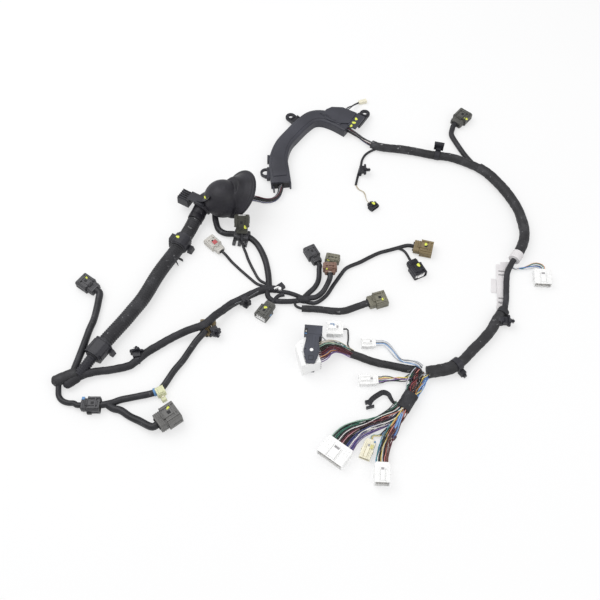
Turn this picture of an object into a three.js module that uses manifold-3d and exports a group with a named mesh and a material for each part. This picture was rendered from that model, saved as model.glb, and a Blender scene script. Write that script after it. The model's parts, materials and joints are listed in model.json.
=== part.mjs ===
// A vehicle wiring harness taken out of its car and laid flat: taped cable runs, a corrugated
// conduit with a rubber grommet, a moulded cable cover, sealed plugs, white plugs and clips.
// Millimetres. +X runs to the right, +Y away from the viewer, +Z up, and z = 0 is the surface
// that it lies on. The origin is under the middle of the whole outline.
import * as THREE from "three";
import { mergeVertices } from "three/addons/utils/BufferGeometryUtils.js";
import Module from "manifold-3d";

const wasm = await Module();
wasm.setup();

// Fits and fineness
const clearance = 0.3;
const stepDiameters = 1.9;
const mostSteps = 80;
const cableSides = 8;
const trunkSides = 8;
const cornerSegments = 1;
const roundSegments = 16;
const plugEntry = 2;
const plugRunIn = 6.3;

// Cable radii
const conduitRadius = 10.5;
const conduitThinRadius = 7.5;
const neckSleeveRadius = 12;
const sensorCableRadius = 5.2;
const middleTrunkRadius = 5.8;
const loopCableRadius = 4;
const armCableRadius = 4.8;
const greyBranchRadius = 5.2;
const dropCableRadius = 4.8;
const thinCableRadius = 2.2;
const linkCableRadius = 3.4;
const lowerLinkRadius = 4;
const clusterCableRadius = 4;
const sideCableRadius = 3;
const leadRadius = 2;
const lowerLeadRadius = 3;
const sleeveCableRadius = 5.2;
const coverWiresRadius = 4.6;
const outerTrunkRadius = 6.8;
const outerBendRadius = 8;
const outerThinRadius = 4.4;
const endSleeveRadius = 7.6;
const endSleeveThickRadius = 9;
const cornerCableRadius = 4.4;
const frontTrunkRadius = 5.6;
const singleWireRadius = 1.5;
const smallWiresRadius = 2.6;

// Flat bundles of loose coloured wires, width by thickness
const leverBundle = { width: 24, thickness: 9 };
const mainBundle = { width: 23, thickness: 11 };
const leftBundle = { width: 22, thickness: 9 };
const rightBundle = { width: 17, thickness: 9 };

// Rubber grommet
const grommetFlangeRadius = 38.5;
const grommetFlangeThickness = 4;
const grommetDomeRadius = 29;
const grommetWall = 3;
const grommetNeckRadius = 15.5;
const grommetLipInset = 3;
const grommetLipDepth = 2;
const grommetSkirtReach = 20;
const grommetSkirtBackInset = 8;
const grommetSkirtFrontInset = 5;
const grommetYaw = 8;
const grommetDip = 44;
const grommetFlangeCentre = [-104.9, 112.7, 29.5];
const grommetDomeCentre = [-128.6, 103.7, 31];

// Cable cover
const coverWall = 2;
const coverHeight = 14;
const coverLid = 2;
const coverWideWidth = 31;
const coverNarrowWidth = 24;
const coverTabThickness = 3;
const coverTabWidth = 17;
const coverHoleRadius = 3.3;
const coverTabHeight = 6;
const coverSpineInset = 9;
const coverSpineRise = 1;
const coverWidePlateRise = 2;
const coverBarRise = 1;
const coverHookRadius = 9;
const coverHookHoleRadius = 5;

// Lever plug
const leverHousingLength = 27;
const leverHousingHeight = 22.6;
const leverArmThickness = 2.5;
const leverLift = 0.6;
const leverPinRadius = 2.2;
const leverPinInset = 8;
const leverSouthReach = 20;
const leverEndRadius = 23.3;
const leverBarDepth = 14;
const leverBarWidth = 25;
const leverHubRadius = 11;
const leverTailReach = 20;
const leverTailWidth = 9;
const leverShoulder = 4;
const leverWaist = 0.66 * leverHubRadius;
const leverCollar = { from: 13.5, side: -4, rise: 0.3 };

// Routes, each a list of [x, y, z]
const conduitRoute = [
  [-297, -155, 11], [-290, -143, 11], [-280, -127, 11], [-269, -111, 11], [-258, -95, 11],
  [-248, -79, 11], [-238, -63, 11], [-230, -46, 11], [-223, -29, 11], [-215, -12, 11],
  [-205, 6, 11], [-196, 22, 11], [-189, 36, 11], [-178, 60, 11], [-172, 76, 11.5],
];
const conduitThinRoute = [[-312, -178, 9], [-306, -170, 10], [-300, -160, 11], [-295, -151, 11]];
const neckSleeveRoute = [[-171.5, 77, 12], [-166, 90, 13], [-160, 103, 17]];
const hubRoute = [[-347, -192, 9.5], [-337, -187, 9.5], [-324, -181, 9.5], [-312, -176, 9.5]];
const sensorRoute = [
  [-301, -60, 6], [-302, -76, 5.3], [-304, -92, 5.3], [-308, -108, 5.3], [-311, -124, 5.3],
  [-314, -140, 5.5], [-317, -156, 6.5], [-319, -168, 8], [-321, -178, 9],
];
const middleRoute = [
  [-316, -184, 8], [-304, -178, 7.5], [-291, -174, 7], [-272, -171, 6], [-258, -168, 6],
  [-245, -164, 6], [-235, -155, 6], [-226, -146, 6], [-220, -141, 6], [-207, -132, 6],
  [-194, -123, 6], [-180, -116, 8], [-166, -112, 13], [-154, -109, 15.6], [-143, -103, 15.9],
  [-132, -91, 15.6], [-122, -79, 10], [-111, -67, 6.5], [-98, -59, 6], [-84, -51, 6], [-70, -44, 6],
  [-58, -41, 6], [-47, -42, 6],
];
const loopShortRoute = [
  [-338, -190, 8], [-337.5, -200, 6], [-336, -209, 4.3], [-330, -216, 4.3], [-322, -219, 4.3],
  [-314, -220, 5.5],
];
const loopLongRoute = [
  [-271, -222, 7], [-262, -219, 5.4], [-253, -215, 5], [-240, -212, 5], [-227, -209, 5],
  [-214, -206, 5], [-203, -202, 5], [-197, -195, 5], [-192, -186, 5], [-184, -171, 5],
  [-173, -155, 5], [-165, -140, 5], [-157, -126, 5.4], [-149, -117, 8], [-144, -111, 11],
];
const greyBranchRoute = [
  [-270, -221, 6], [-261, -227, 5], [-251, -230, 5], [-237, -239, 5], [-225, -245, 6],
];
const dropRoute = [
  [-141, 104, 17], [-141.5, 98, 10], [-142, 90, 5.5], [-140, 79, 5], [-135, 65, 5],
  [-125, 58, 5], [-113, 57, 5], [-100, 55, 5], [-88, 50, 5], [-78, 40, 5], [-71, 28, 5],
  [-64, 10, 5], [-60, -8, 5], [-58, -24, 5], [-57, -40, 6],
];
const thinNearRoute = [
  [-99, 42, 8], [-97, 34, 4], [-93, 24, 2.6], [-89, 12, 2.4], [-81, -6, 2.4], [-71, -24, 2.6],
  [-58.5, -33, 5],
];
const thinFarRoute = [
  [-120, 16, 4.5], [-114, 9, 2.6], [-101, -5, 2.4], [-86, -20, 2.4], [-74, -31, 2.8],
  [-60, -37, 5],
];
const linkUpperRoute = [[-56, -42, 6], [-41, -44, 4], [-27, -47, 4], [-14, -53, 5], [-6, -58, 6]];
const linkLowerRoute = [
  [-60, -44, 6], [-58, -54, 5.5], [-51, -60, 4.6], [-41, -61, 4.4], [-27, -61, 4.4],
  [-15, -60, 5], [-6, -59, 6],
];
const clusterLeftRoute = [
  [-8, -57, 6], [0, -47, 4.4], [9, -37, 4.3], [14, -26, 4.3], [15.5, -14, 4.3], [15.5, -6, 5],
];
const clusterRightRoute = [[-8, -59, 6], [0, -56, 5], [10, -54, 4.6], [20, -46, 5.4], [26.5, -36, 9]];
const clusterMiddleRoute = [
  [14, -51, 4], [22, -43, 2.6], [27, -34, 2.4], [30, -24, 2.4], [31, -14, 2.4], [31.5, -9, 3.5],
];
const sideRoute = [
  [-8, -61, 6], [0, -63, 4.2], [10, -63, 3.6], [24, -52, 3.2], [36.5, -32, 3.2], [47, -15, 3.2],
  [54, -5, 3.2], [61, 0, 3.2], [76, 7, 3.2], [91, 16, 3.2], [106, 24, 3.2], [122, 29, 3.2],
  [134, 33, 3.2], [146, 36, 4.2],
];
const branchLeadRoute = [[130, 32, 3.2], [137, 31, 2.6], [143, 27, 2.4], [147, 19, 3.2]];
const sleeveRoute = [
  [-10, -73.5, 5.4], [2, -74, 5.4], [16, -75, 5.4], [30, -77, 5.4], [44, -78, 5.4], [52, -77, 5.4],
  [60, -74, 5.4], [73, -69, 6],
];
const coverWiresRoute = [
  [-158, 108, 19], [-142, 110, 25], [-125, 111, 24], [-107, 112, 22], [-91, 115, 19],
  [-78, 118, 12], [-66, 120, 5.5], [-54, 122, 5], [-46, 129, 6], [-42, 143, 7.4],
  [-43, 168, 7.4], [-45, 195, 7.4], [-38, 224, 7.4], [-24, 249, 7.4], [-6, 273, 7.4],
  [8, 286, 7.4], [24, 286, 7.4], [43, 279, 7.4], [63, 266, 7.4], [79, 254, 6.5], [94, 240, 6.5],
  [104, 232, 7],
];
const outerRoute = [
  [103, 233, 7], [112, 228, 7], [120, 226, 7], [132, 224, 7], [148, 222, 7], [164, 219, 7],
  [180, 215, 7], [195, 211, 7], [211, 208, 7], [227, 205, 7], [242, 199, 7], [257, 191, 7],
  [272, 182, 7],
];
const outerBendRoute = [
  [270, 183, 8.2], [282, 172, 8.2], [294, 156, 8.2], [305, 138, 8.2], [314, 119, 8.2],
  [321, 99, 8.2], [324, 80, 8.2], [325, 62, 8.2], [322, 44, 8.4], [314, 26, 8.8], [304, 10, 9],
];
const outerThinRoute = [
  [304, 10, 9], [297, 0, 7], [291, -12, 5], [288, -25, 4.6], [285.5, -42, 4.6], [283, -59, 4.6],
  [279, -74, 6],
];
const endSleeveRoute = [
  [277, -76, 7.8], [271, -85, 7.8], [264, -95, 7.8], [255, -110, 7.8], [241, -126, 7.8],
  [226, -141, 7.8], [211, -157, 8], [202, -164, 8.4],
];
const endSleeveThickRoute = [[204, -162, 9.2], [193, -169, 9.2], [178, -173, 9.2], [160, -176, 9.2]];
const cornerRoute = [
  [261, 192, 7], [254, 206, 5], [246, 223, 4.6], [239, 240, 4.6], [234, 256, 4.6],
  [236.5, 267, 5.5],
];
const thinTopRoute = [
  [119, 226, 7], [112, 226, 4], [103, 223, 2.4], [93, 215, 2.4], [87, 204, 2.4], [84, 189, 2.4],
  [81, 179, 2.4], [78, 167, 2.4], [75, 153, 2.4], [79, 145, 2.4], [87, 139, 2.4], [92, 130, 2.6],
];
const frontTrunkRoute = [
  [153, -172, 8], [137, -170, 6.5], [124, -167, 6], [111, -164, 6], [97, -161, 6], [84, -157, 6],
  [70, -151, 6], [58, -147, 7],
];
const leverWiresRoute = [[60, -147, 7], [50, -143, 8], [38, -139, 10], [26, -141, 12.5]];
const upperSmallRoute = [
  [99, -128, 4.2], [106, -129, 3.4], [112, -135, 3.2], [119, -145, 3.2], [124, -153, 4.5],
  [129, -159, 9], [137, -163, 14.5], [146, -166, 16], [153, -170, 12],
];
const lowerSmallRoute = [
  [100, -184, 4], [108, -183.5, 3.6], [118, -184, 3.6], [129, -184, 4], [140, -180, 7],
];
const mainBundleRoute = [
  [153, -175, 9], [149, -181, 7.5], [145.5, -190, 6.6], [141, -200, 6.8], [136, -209, 8.5],
];
const leftBundleRoute = [
  [122, -225, 9], [112, -235, 6.5], [101, -242, 6], [87, -248, 6], [74, -253, 6], [61, -259, 6],
  [50, -267, 6.5],
];
const rightBundleRoute = [
  [125, -228, 9], [119, -240, 6.5], [111, -252, 6], [104, -264, 6], [98, -278, 6.5],
  [94.5, -292, 7.5],
];
const yellowLeadRoute = [[108, -256, 6], [99, -261, 3.5], [90, -265, 3.2]];
const lowerLeadRoute = [[-43, -52, 5]];
const sleeveLeadRoute = [[0, -74, 5.4], [-12, -72.5, 5], [-19, -68, 4.8], [-19, -60, 5]];
const singleWireRoute = [
  [60, -143, 9], [56, -136, 4], [54, -129, 1.8], [55, -121, 1.8], [55, -112, 2.4],
];
const strapRoute = [
  [124, -220, 4], [113, -219, 3], [109, -213, 3], [106, -207, 3], [99, -204.5, 3],
  [92, -208, 3], [83, -215, 3], [79, -222, 3],
];
const stubRoute = [[58, 293, 12], [64, 302, 12], [72, 313, 9], [79, 321, 5.4], [85.5, 327, 3.4]];
const labelLeadRoute = [[295, 0, 6], [303, -3, 3], [313, -3, 2.4], [324, -1, 2.4], [335, 2, 3]];
const hubLobeRoute = [[-331, -196, 7], [-322, -190, 7.5], [-310, -181, 8]];
const branchJointRoute = [[-16, -57, 5.6], [-8, -59, 6], [0, -60, 5.8]];
const wrapRoute = [[136.5, -208.5, 8.8], [130, -219, 8.8], [123, -230, 8.8]];
const grommetNeckRoute = [[-163, 96, 15], [-156, 104, 19], [-148, 106, 24]];
const grommetThroatRoute = [neckSleeveRoute.at(-1), ...grommetNeckRoute.slice(1), grommetDomeCentre];
const coverFootRoute = [[-42, 148, 0], [-45, 167, 0], [-46.5, 184, 0], [-46.5, 200, 0]];
const coverRunRoute = [
  [-46.5, 192, 0], [-45, 208, 0], [-38, 230, 0], [-24, 251, 0], [-7, 273, 0], [8, 286, 0],
  [24, 287.5, 0], [43, 280, 0], [66, 264, 0],
];

// Thick ends of the routes, and the wedge of tape where the cables of the left side meet
const hubWedge = { width: 17, thickness: 17 };
const hubLobeRadius = 6.4;
const branchJointRadius = 5.4;
const wrap = { width: 21, thickness: 17 };
const strap = { width: 6, thickness: 2 };
const labelThickness = 0.6;

// Small pieces: where each sits, its heading, and its blocks as [x0, x1, y0, y1, z0, z1]
const clamp = {
  at: [-289, -143, 0], heading: 57, halfLength: 13, width: 27, height: 24, corner: 3,
  ear: [-9, 9, 13, 18, 0, 6],
};
const ringClip = {
  at: [-189, 36, 0], heading: 63, halfLength: 8, width: 26, height: 24.5, corner: 4,
  head: [-6, 6, 12, 20, 4, 14], foot: [-5, 5, -22, -12, 0, 9],
};
const bracket = {
  at: [-169, 104, 0], heading: 150, boss: { from: 10, to: 30, width: 20, height: 16, z: 12 },
  arm: { from: -14, to: 12, width: 16, height: 3, z: 30.5 }, drop: [8, 12, -8, 8, 20, 32],
  bossCorner: 1.5, armCorner: 1,
};
const prongClip = {
  at: [-100, 53, 0], heading: -10, halfLength: 11, width: 15, height: 12, corner: 1.5,
  prongs: [[-11, -6, -16, -6, 0, 6], [6, 11, -16, -6, 0, 6]],
};
const smallClip = {
  at: [-200, -203, 0], heading: 30, halfLength: 6, width: 14, height: 11, corner: 1.5,
  tail: [-4, 3, -14, -6, 0, 5],
};
const outerClip = {
  at: [206, 208.6, 7.9], heading: -13, width: 7, thickness: 1,
  blocks: [[202, 212, 212, 222, 8, 16], [200, 214, 218, 221, 10, 22]],
};
const endClip = {
  at: [201.5, -164.5, 10.2], heading: 37, width: 8, thickness: 1, head: [-4, 4, -16, -7, 1.2, 8],
};
const squareTag = [-46, -36, -41, -32, 0, 5];
const strapToe = [76, 86, -224, -221, 0, strap.width];
const stubEnd = { at: [86.5, 327.8, 0.2], heading: 18, block: [-1, 13, -3, 3, 0, 6] };
const flag = {
  at: [284, 0, 0], heading: -7, strip: [-7, 7, -74, 4], flap: [-14, -6, -46, -22],
  tongue: [284, 303, -3, 9], tongueRise: 0.4, ringAt: [306, 13, 9], ringHeading: 56, ringHalf: 7,
};
const rearTab = { at: [79.9, 275.2], heading: 57.5, length: 35.5, root: 8 };
const rearBar = { at: [71, 261, 0], heading: 57.5, length: 30, width: 15 };
const sideTab = { at: [-14.5, 277], heading: 134.6, length: 27.5, root: 4 };
const coverHook = { at: [-66.5, 172, 0], heading: 90, z0: 5, z1: 9, foot: [-62, -58, 160, 180, 4, 10] };
const coverTongue = [-48, -31, 120, 152];
const coverWidePlate = [[24, 290], [40, 304], [58, 303], [76, 293], [67, 268], [40, 272]];
const floorBlock = [-200, 0, 0, 200, -60, 0];
const tuckedRoom = [-157, -128, -119, -88, -1, 9.8];

const parts = new THREE.Group();

// Colours and finishes of the materials
const finishes = {
  black: { color: 0x1d1e20, roughness: 0.5 },
  sheath: { color: 0x1d1e20, roughness: 0.7 },
  tape: { color: 0x232326, roughness: 0.75 },
  darkGrey: { color: 0x3a3c42, roughness: 0.5 },
  grey: { color: 0x565a60, roughness: 0.5 },
  paleGrey: { color: 0xb9b4ac, roughness: 0.5 },
  tan: { color: 0x4e4a44, roughness: 0.5 },
  brown: { color: 0x6a5442, roughness: 0.5 },
  white: { color: 0xeceae4, roughness: 0.5 },
  cream: { color: 0xe2dcc0, roughness: 0.5 },
  yellowed: { color: 0xc9bf86, roughness: 0.55 },
  paper: { color: 0xeceae4, roughness: 0.7 },
  wires: { color: 0x6f5a58, roughness: 0.6 },
  paleWires: { color: 0xb8bcc4, roughness: 0.6 },
};

// Turns a closed three.js geometry into a solid that can be joined and cut.
function solid(geometry) {
  const bare = geometry.index ? geometry.toNonIndexed() : geometry.clone();
  bare.deleteAttribute("normal");
  bare.deleteAttribute("uv");
  const merged = mergeVertices(bare, 1e-4);
  const corners = [];
  const index = merged.index.array;
  for (let i = 0; i < index.length; i += 3) {
    const [a, b, c] = [index[i], index[i + 1], index[i + 2]];
    if (a !== b && b !== c && c !== a) corners.push(a, b, c);
  }
  return new wasm.Manifold(
    new wasm.Mesh({
      numProp: 3,
      vertProperties: merged.attributes.position.array,
      triVerts: new Uint32Array(corners),
    }),
  );
}

function geometryOf(body) {
  const mesh = body.getMesh();
  const geometry = new THREE.BufferGeometry();
  geometry.setAttribute("position", new THREE.BufferAttribute(mesh.vertProperties.slice(), 3));
  geometry.setIndex(new THREE.BufferAttribute(mesh.triVerts.slice(), 1));
  geometry.computeVertexNormals();
  return geometry;
}

function join(...bodies) {
  return bodies.reduce((all, one) => all.add(one));
}

function cut(body, ...tools) {
  return tools.reduce((left, tool) => left.subtract(tool), body);
}

function add(name, body, finish, place = new THREE.Matrix4()) {
  const material = new THREE.MeshStandardMaterial({ ...finish, metalness: 0 });
  const mesh = new THREE.Mesh(geometryOf(body), material);
  mesh.name = name;
  mesh.applyMatrix4(place);
  parts.add(mesh);
}

const radians = THREE.MathUtils.degToRad;

// The place of a piece: its own X points along the heading, tipped up by the pitch.
function seat([x, y, z], heading, pitch = 0) {
  const place = new THREE.Matrix4().makeTranslation(x, y, z);
  place.multiply(new THREE.Matrix4().makeRotationZ(radians(heading)));
  return place.multiply(new THREE.Matrix4().makeRotationY(-radians(pitch)));
}

function block(x0, x1, y0, y1, z0, z1) {
  const box = new THREE.BoxGeometry(x1 - x0, y1 - y0, z1 - z0);
  return box.translate((x0 + x1) / 2, (y0 + y1) / 2, (z0 + z1) / 2);
}

function roundedRectangle(width, height, corner) {
  const radius = Math.min(corner, 0.4 * width, 0.4 * height);
  const [w, h] = [width / 2 - radius, height / 2 - radius];
  const outline = new THREE.Shape();
  outline.absarc(w, h, radius, 0, Math.PI / 2);
  outline.absarc(-w, h, radius, Math.PI / 2, Math.PI);
  outline.absarc(-w, -h, radius, Math.PI, 1.5 * Math.PI);
  outline.absarc(w, -h, radius, 1.5 * Math.PI, 2 * Math.PI);
  return outline;
}

// A block with round long edges, from x0 to x1, centred on y = 0 and standing on z = z0.
function roundedBlock(x0, x1, width, height, z0, corner) {
  const outline = roundedRectangle(width, height, corner);
  const extrusion = new THREE.ExtrudeGeometry(outline, {
    depth: x1 - x0,
    bevelEnabled: false,
    curveSegments: cornerSegments,
  });
  const turn = new THREE.Matrix4().makeBasis(
    new THREE.Vector3(0, 1, 0),
    new THREE.Vector3(0, 0, 1),
    new THREE.Vector3(1, 0, 0),
  );
  return extrusion.applyMatrix4(turn).translate(x0, 0, z0 + height / 2);
}

// A flat plate: an outline in plan, from z0 up to z1.
function plate(outline, z0, z1, curveSegments = 6) {
  const extrusion = new THREE.ExtrudeGeometry(outline, {
    depth: z1 - z0,
    bevelEnabled: false,
    curveSegments,
  });
  return extrusion.translate(0, 0, z0);
}

// A round bar along the X axis from x0 to x1.
function drum(x0, x1, radius, segments = 12) {
  const bar = new THREE.CylinderGeometry(radius, radius, x1 - x0, segments);
  return bar.rotateZ(Math.PI / 2).translate((x0 + x1) / 2, 0, 0);
}

function lineOf(points) {
  const vectors = points.map((p) => new THREE.Vector3(...p));
  return new THREE.CatmullRomCurve3(vectors, false, "centripetal");
}

function swept(section, points, pitchLength) {
  const line = lineOf(points);
  const steps = THREE.MathUtils.clamp(Math.round(line.getLength() / pitchLength), 2, mostSteps);
  const options = { steps, bevelEnabled: false, extrudePath: line };
  return solid(new THREE.ExtrudeGeometry(section, options));
}

function polygon(halfHeight, halfWidth, sides) {
  const corners = [];
  for (let i = 0; i < sides; i += 1) {
    const angle = (2 * Math.PI * (i + 0.5)) / sides;
    corners.push(new THREE.Vector2(halfHeight * Math.cos(angle), halfWidth * Math.sin(angle)));
  }
  return new THREE.Shape(corners);
}

// A taped cable: an even tube along a smooth line through its points, grown where it is a tool.
function cable(points, radius, grow = 0, sides = cableSides) {
  const section = polygon(radius + grow, radius + grow, sides);
  return swept(section, points, 2 * radius * stepDiameters);
}

// A flat bundle of loose wires.
function bundle(points, { width, thickness }, grow = 0) {
  const section = polygon(thickness / 2 + grow, width / 2 + grow, trunkSides);
  return swept(section, points, thickness * stepDiameters);
}

// A cable, or a bundle, that runs into the back of a plug and stops just short of its face.
function route(points, plug) {
  const entry = [-plugRunIn, plugEntry].map((x) => new THREE.Vector3(x, 0, plug.entry));
  return [...points, ...entry.map((p) => p.applyMatrix4(plug.place).toArray())];
}

const trimMargin = 25;

function trimmed(body, plug) {
  const wide = plug.width / 2 + trimMargin;
  const [low, high] = [-trimMargin, plug.height + trimMargin];
  const tool = block(-clearance, plug.length, -wide, wide, low, high);
  return cut(body, solid(tool.applyMatrix4(plug.place)));
}

function cableTo(points, radius, plug, grow = 0) {
  return trimmed(cable(route(points, plug), radius, grow), plug);
}

// Sealed plugs: a seal carrier at the back, a shroud round a terminal block, a latch on top.
const sealedWall = 1.8;
const sealedGap = 1.6;
const sealedCorner = 2.2;
const sealedLatchRise = 1.8;
const sealedCarrierShare = 0.36;
const sealedBack = { inset: 2.5, base: 1.5, overlap: 1 };
const sealedCore = { start: 2, recess: 1.5, corner: 0.8 };
const sealedSocket = { start: 3, corner: 1.2 };
const sealedLatch = { halfShare: 0.16, start: 3, recess: 3 };
const sealedRail = { share: 0.34, half: 1, recess: 1, drop: 0.5 };
const seam = 0.5;

function sealedPlug({ name, at, heading, pitch = 0, length, width, height, finish }) {
  const carrier = length * sealedCarrierShare;
  const shroudHeight = height - sealedLatchRise;
  const plug = { name, length, width, height, finish, entry: shroudHeight / 2 };
  plug.place = seat(at, heading, pitch);
  const shroud = roundedBlock(carrier, length, width, shroudHeight, 0, sealedCorner);
  const back = roundedBlock(
    0, carrier + sealedBack.overlap, width - 2 * sealedBack.inset,
    shroudHeight - 2 * sealedBack.base, sealedBack.base, sealedCorner,
  );
  const [innerWidth, innerHeight] = [width - 2 * sealedWall, shroudHeight - 2 * sealedWall];
  const socket = roundedBlock(
    carrier + sealedSocket.start, length + 1, innerWidth, innerHeight, sealedWall,
    sealedSocket.corner,
  );
  const core = roundedBlock(
    carrier + sealedCore.start, length - sealedCore.recess, innerWidth - 2 * sealedGap,
    innerHeight - 2 * sealedGap, sealedWall + sealedGap, sealedCore.corner,
  );
  const rise = shroudHeight - seam;
  const latchHalf = width * sealedLatch.halfShare;
  const [latchStart, latchEnd] = [carrier - sealedLatch.start, length - sealedLatch.recess];
  const latch = block(latchStart, latchEnd, -latchHalf, latchHalf, rise, height);
  const rail = (side) => {
    const y = side * width * sealedRail.share;
    const [y0, y1] = [y - sealedRail.half, y + sealedRail.half];
    return block(carrier, length - sealedRail.recess, y0, y1, rise, height - sealedRail.drop);
  };
  const hollow = cut(solid(shroud), solid(socket));
  plug.body = join(hollow, solid(back), solid(core), solid(latch), solid(rail(1)), solid(rail(-1)));
  return plug;
}

// White plugs: a many-way housing with a stepped back, side ribs and a latch on top.
const whiteLatchRise = 1.6;
const whiteCorner = 0.8;
const whiteBack = { length: 3, overlap: 1, inset: 1.2, base: 1 };
const whiteRib = { share: 0.55, length: 2, rise: 0.8 };
const whiteLatch = { startShare: 0.3, recess: 2, halfShare: 0.14 };
const whiteSlot = { depth: 2, wall: 2, lowShare: 0.42, highShare: 0.58 };

function whitePlug({ name, at, heading, length, width, height, finish = finishes.white }) {
  const deck = height - whiteLatchRise;
  const plug = { name, length, width, height, finish, entry: deck / 2 };
  plug.place = seat(at, heading);
  const body = roundedBlock(whiteBack.length, length, width, deck, 0, whiteCorner);
  const back = roundedBlock(
    0, whiteBack.length + whiteBack.overlap, width - 2 * whiteBack.inset,
    deck - 2 * whiteBack.base, whiteBack.base, whiteCorner,
  );
  const ribStart = length * whiteRib.share;
  const ribWidth = width + 2 * whiteRib.rise;
  const rib = roundedBlock(ribStart, ribStart + whiteRib.length, ribWidth, deck, 0, whiteCorner);
  const latchHalf = width * whiteLatch.halfShare;
  const [latchStart, latchEnd] = [length * whiteLatch.startShare, length - whiteLatch.recess];
  const latch = block(latchStart, latchEnd, -latchHalf, latchHalf, deck - seam, height);
  const slotHalf = width / 2 - whiteSlot.wall;
  const [low, high] = [deck * whiteSlot.lowShare, deck * whiteSlot.highShare];
  const slot = block(length - whiteSlot.depth, length + 1, -slotHalf, slotHalf, low, high);
  const joined = join(solid(body), solid(back), solid(rib), solid(latch));
  plug.body = cut(joined, solid(slot));
  return plug;
}

const plugs = {
  leftSensor: sealedPlug({
    name: "left_sensor_plug", at: [-306, -43.8, 0], heading: 144, length: 30, width: 22, height: 16,
    finish: finishes.darkGrey,
  }),
  upright: sealedPlug({
    name: "upright_plug", at: [-99, 55, 12.6], heading: 88, pitch: 48, length: 27, width: 22,
    height: 13, finish: finishes.darkGrey,
  }),
  greyWhite: sealedPlug({
    name: "grey_white_plug", at: [-129, 25.5, 0], heading: 134, length: 30, width: 18, height: 13,
    finish: finishes.paleGrey,
  }),
  lower: sealedPlug({
    name: "lower_plug", at: [-53.4, -66.4, 0], heading: -124, length: 28, width: 20, height: 15,
    finish: finishes.darkGrey,
  }),
  tucked: sealedPlug({
    name: "tucked_plug", at: [-142.5, -117, 0], heading: 90, length: 25, width: 22, height: 9.4,
    finish: finishes.brown,
  }),
  inline: sealedPlug({
    name: "inline_plug", at: [-303, -223, 0], heading: 0, length: 25, width: 21, height: 15,
    finish: finishes.grey,
  }),
  large: sealedPlug({
    name: "large_grey_plug", at: [-199, -252, 0], heading: 37, length: 31, width: 27, height: 24,
    finish: finishes.grey,
  }),
  clusterTop: sealedPlug({
    name: "cluster_top_plug", at: [13.5, 4, 0], heading: 117, length: 29, width: 19, height: 15,
    finish: finishes.darkGrey,
  }),
  clusterMiddle: sealedPlug({
    name: "cluster_middle_plug", at: [33, -1, 0], heading: 78, length: 18, width: 21, height: 14,
    finish: finishes.tan,
  }),
  clusterBottom: sealedPlug({
    name: "cluster_bottom_plug", at: [31, -20.5, 8.9], heading: 90, length: 16, width: 20,
    height: 14, finish: finishes.brown,
  }),
  brown: sealedPlug({
    name: "brown_plug", at: [157, 33.5, 0], heading: -14, length: 28, width: 25, height: 14,
    finish: finishes.brown,
  }),
  hook: sealedPlug({
    name: "black_plug", at: [151.2, 6, 0], heading: -64, length: 28, width: 21, height: 15,
    finish: finishes.black,
  }),
  sleeve: sealedPlug({
    name: "sleeve_plug", at: [85, -65, 0], heading: 18, length: 27, width: 23, height: 15,
    finish: finishes.grey,
  }),
  tiny: sealedPlug({
    name: "thin_lead_plug", at: [95, 116, 0], heading: -50, length: 13, width: 16, height: 9,
    finish: finishes.black,
  }),
  corner: sealedPlug({
    name: "corner_plug", at: [242, 276.5, 0], heading: 50, length: 31, width: 24, height: 15,
    finish: finishes.darkGrey,
  }),
  label: whitePlug({
    name: "label_white_plug", at: [341, -9, 0], heading: -94, length: 26, width: 25, height: 13,
  }),
  upperSingle: whitePlug({
    name: "single_wire_white_plug", at: [48, -107, 0], heading: 178, length: 23, width: 22,
    height: 12,
  }),
  upperSmall: whitePlug({
    name: "upper_small_white_plug", at: [93, -128, 0], heading: 180, length: 20, width: 15,
    height: 9,
  }),
  lowerSmall: whitePlug({
    name: "lower_small_white_plug", at: [93.5, -185, 0], heading: 182, length: 26, width: 15,
    height: 10,
  }),
  wide: whitePlug({
    name: "wide_white_plug", at: [41, -278, 0], heading: -127, length: 27, width: 39, height: 15,
  }),
  end: whitePlug({
    name: "end_white_plug", at: [92.5, -305, 0], heading: -93, length: 27, width: 20, height: 18,
  }),
  yellowed: whitePlug({
    name: "yellowed_white_plug", at: [80.5, -271, 0], heading: -112, length: 28, width: 15,
    height: 9, finish: finishes.cream,
  }),
};

// A push-in clip beside a cable: a foot, a round skirt and a barbed stem, along its own X.
const clipFoot = { back: 2, length: 6, width: 11, height: 8 };
const clipSkirtRadius = 7;
const clipSkirt = 1.6;
const clipStemRadius = 2.4;
const clipStem = 9;
const clipStemSides = 8;
const clipBarb = { start: 4, recess: 1, half: 4, halfThickness: 1 };

function pushClip([x, y], heading) {
  const { back, length, width, height } = clipFoot;
  const foot = block(-back, length, -width / 2, width / 2, -height / 2, height / 2);
  const skirt = drum(length, length + clipSkirt, clipSkirtRadius);
  const stem = drum(length, length + clipStem, clipStemRadius, clipStemSides);
  const [barbStart, barbEnd] = [length + clipBarb.start, length + clipStem - clipBarb.recess];
  const barb = block(
    barbStart, barbEnd, -clipBarb.half, clipBarb.half, -clipBarb.halfThickness,
    clipBarb.halfThickness,
  );
  const place = seat([x, y, clipSkirtRadius], heading);
  return join(...[foot, skirt, stem, barb].map((piece) => solid(piece.applyMatrix4(place))));
}

// A band round a cable, as a short fat tube centred on one of its points.
function band({ at, heading, width, thickness }, radius) {
  return solid(drum(-width / 2, width / 2, radius + thickness).applyMatrix4(seat(at, heading)));
}

function blockAt(corners, place = new THREE.Matrix4()) {
  return solid(block(...corners).applyMatrix4(place));
}

// Corrugated conduit, with its thinner split end towards the hub
function conduit(grow = 0) {
  return join(
    cable(conduitRoute, conduitRadius, grow, trunkSides),
    cable(conduitThinRoute, conduitThinRadius, grow, trunkSides),
  );
}

function neckSleeve(grow = 0) {
  return cable(neckSleeveRoute, neckSleeveRadius, grow, trunkSides);
}

function hub(grow = 0) {
  return join(bundle(hubRoute, hubWedge, grow), cable(hubLobeRoute, hubLobeRadius, grow));
}

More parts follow.
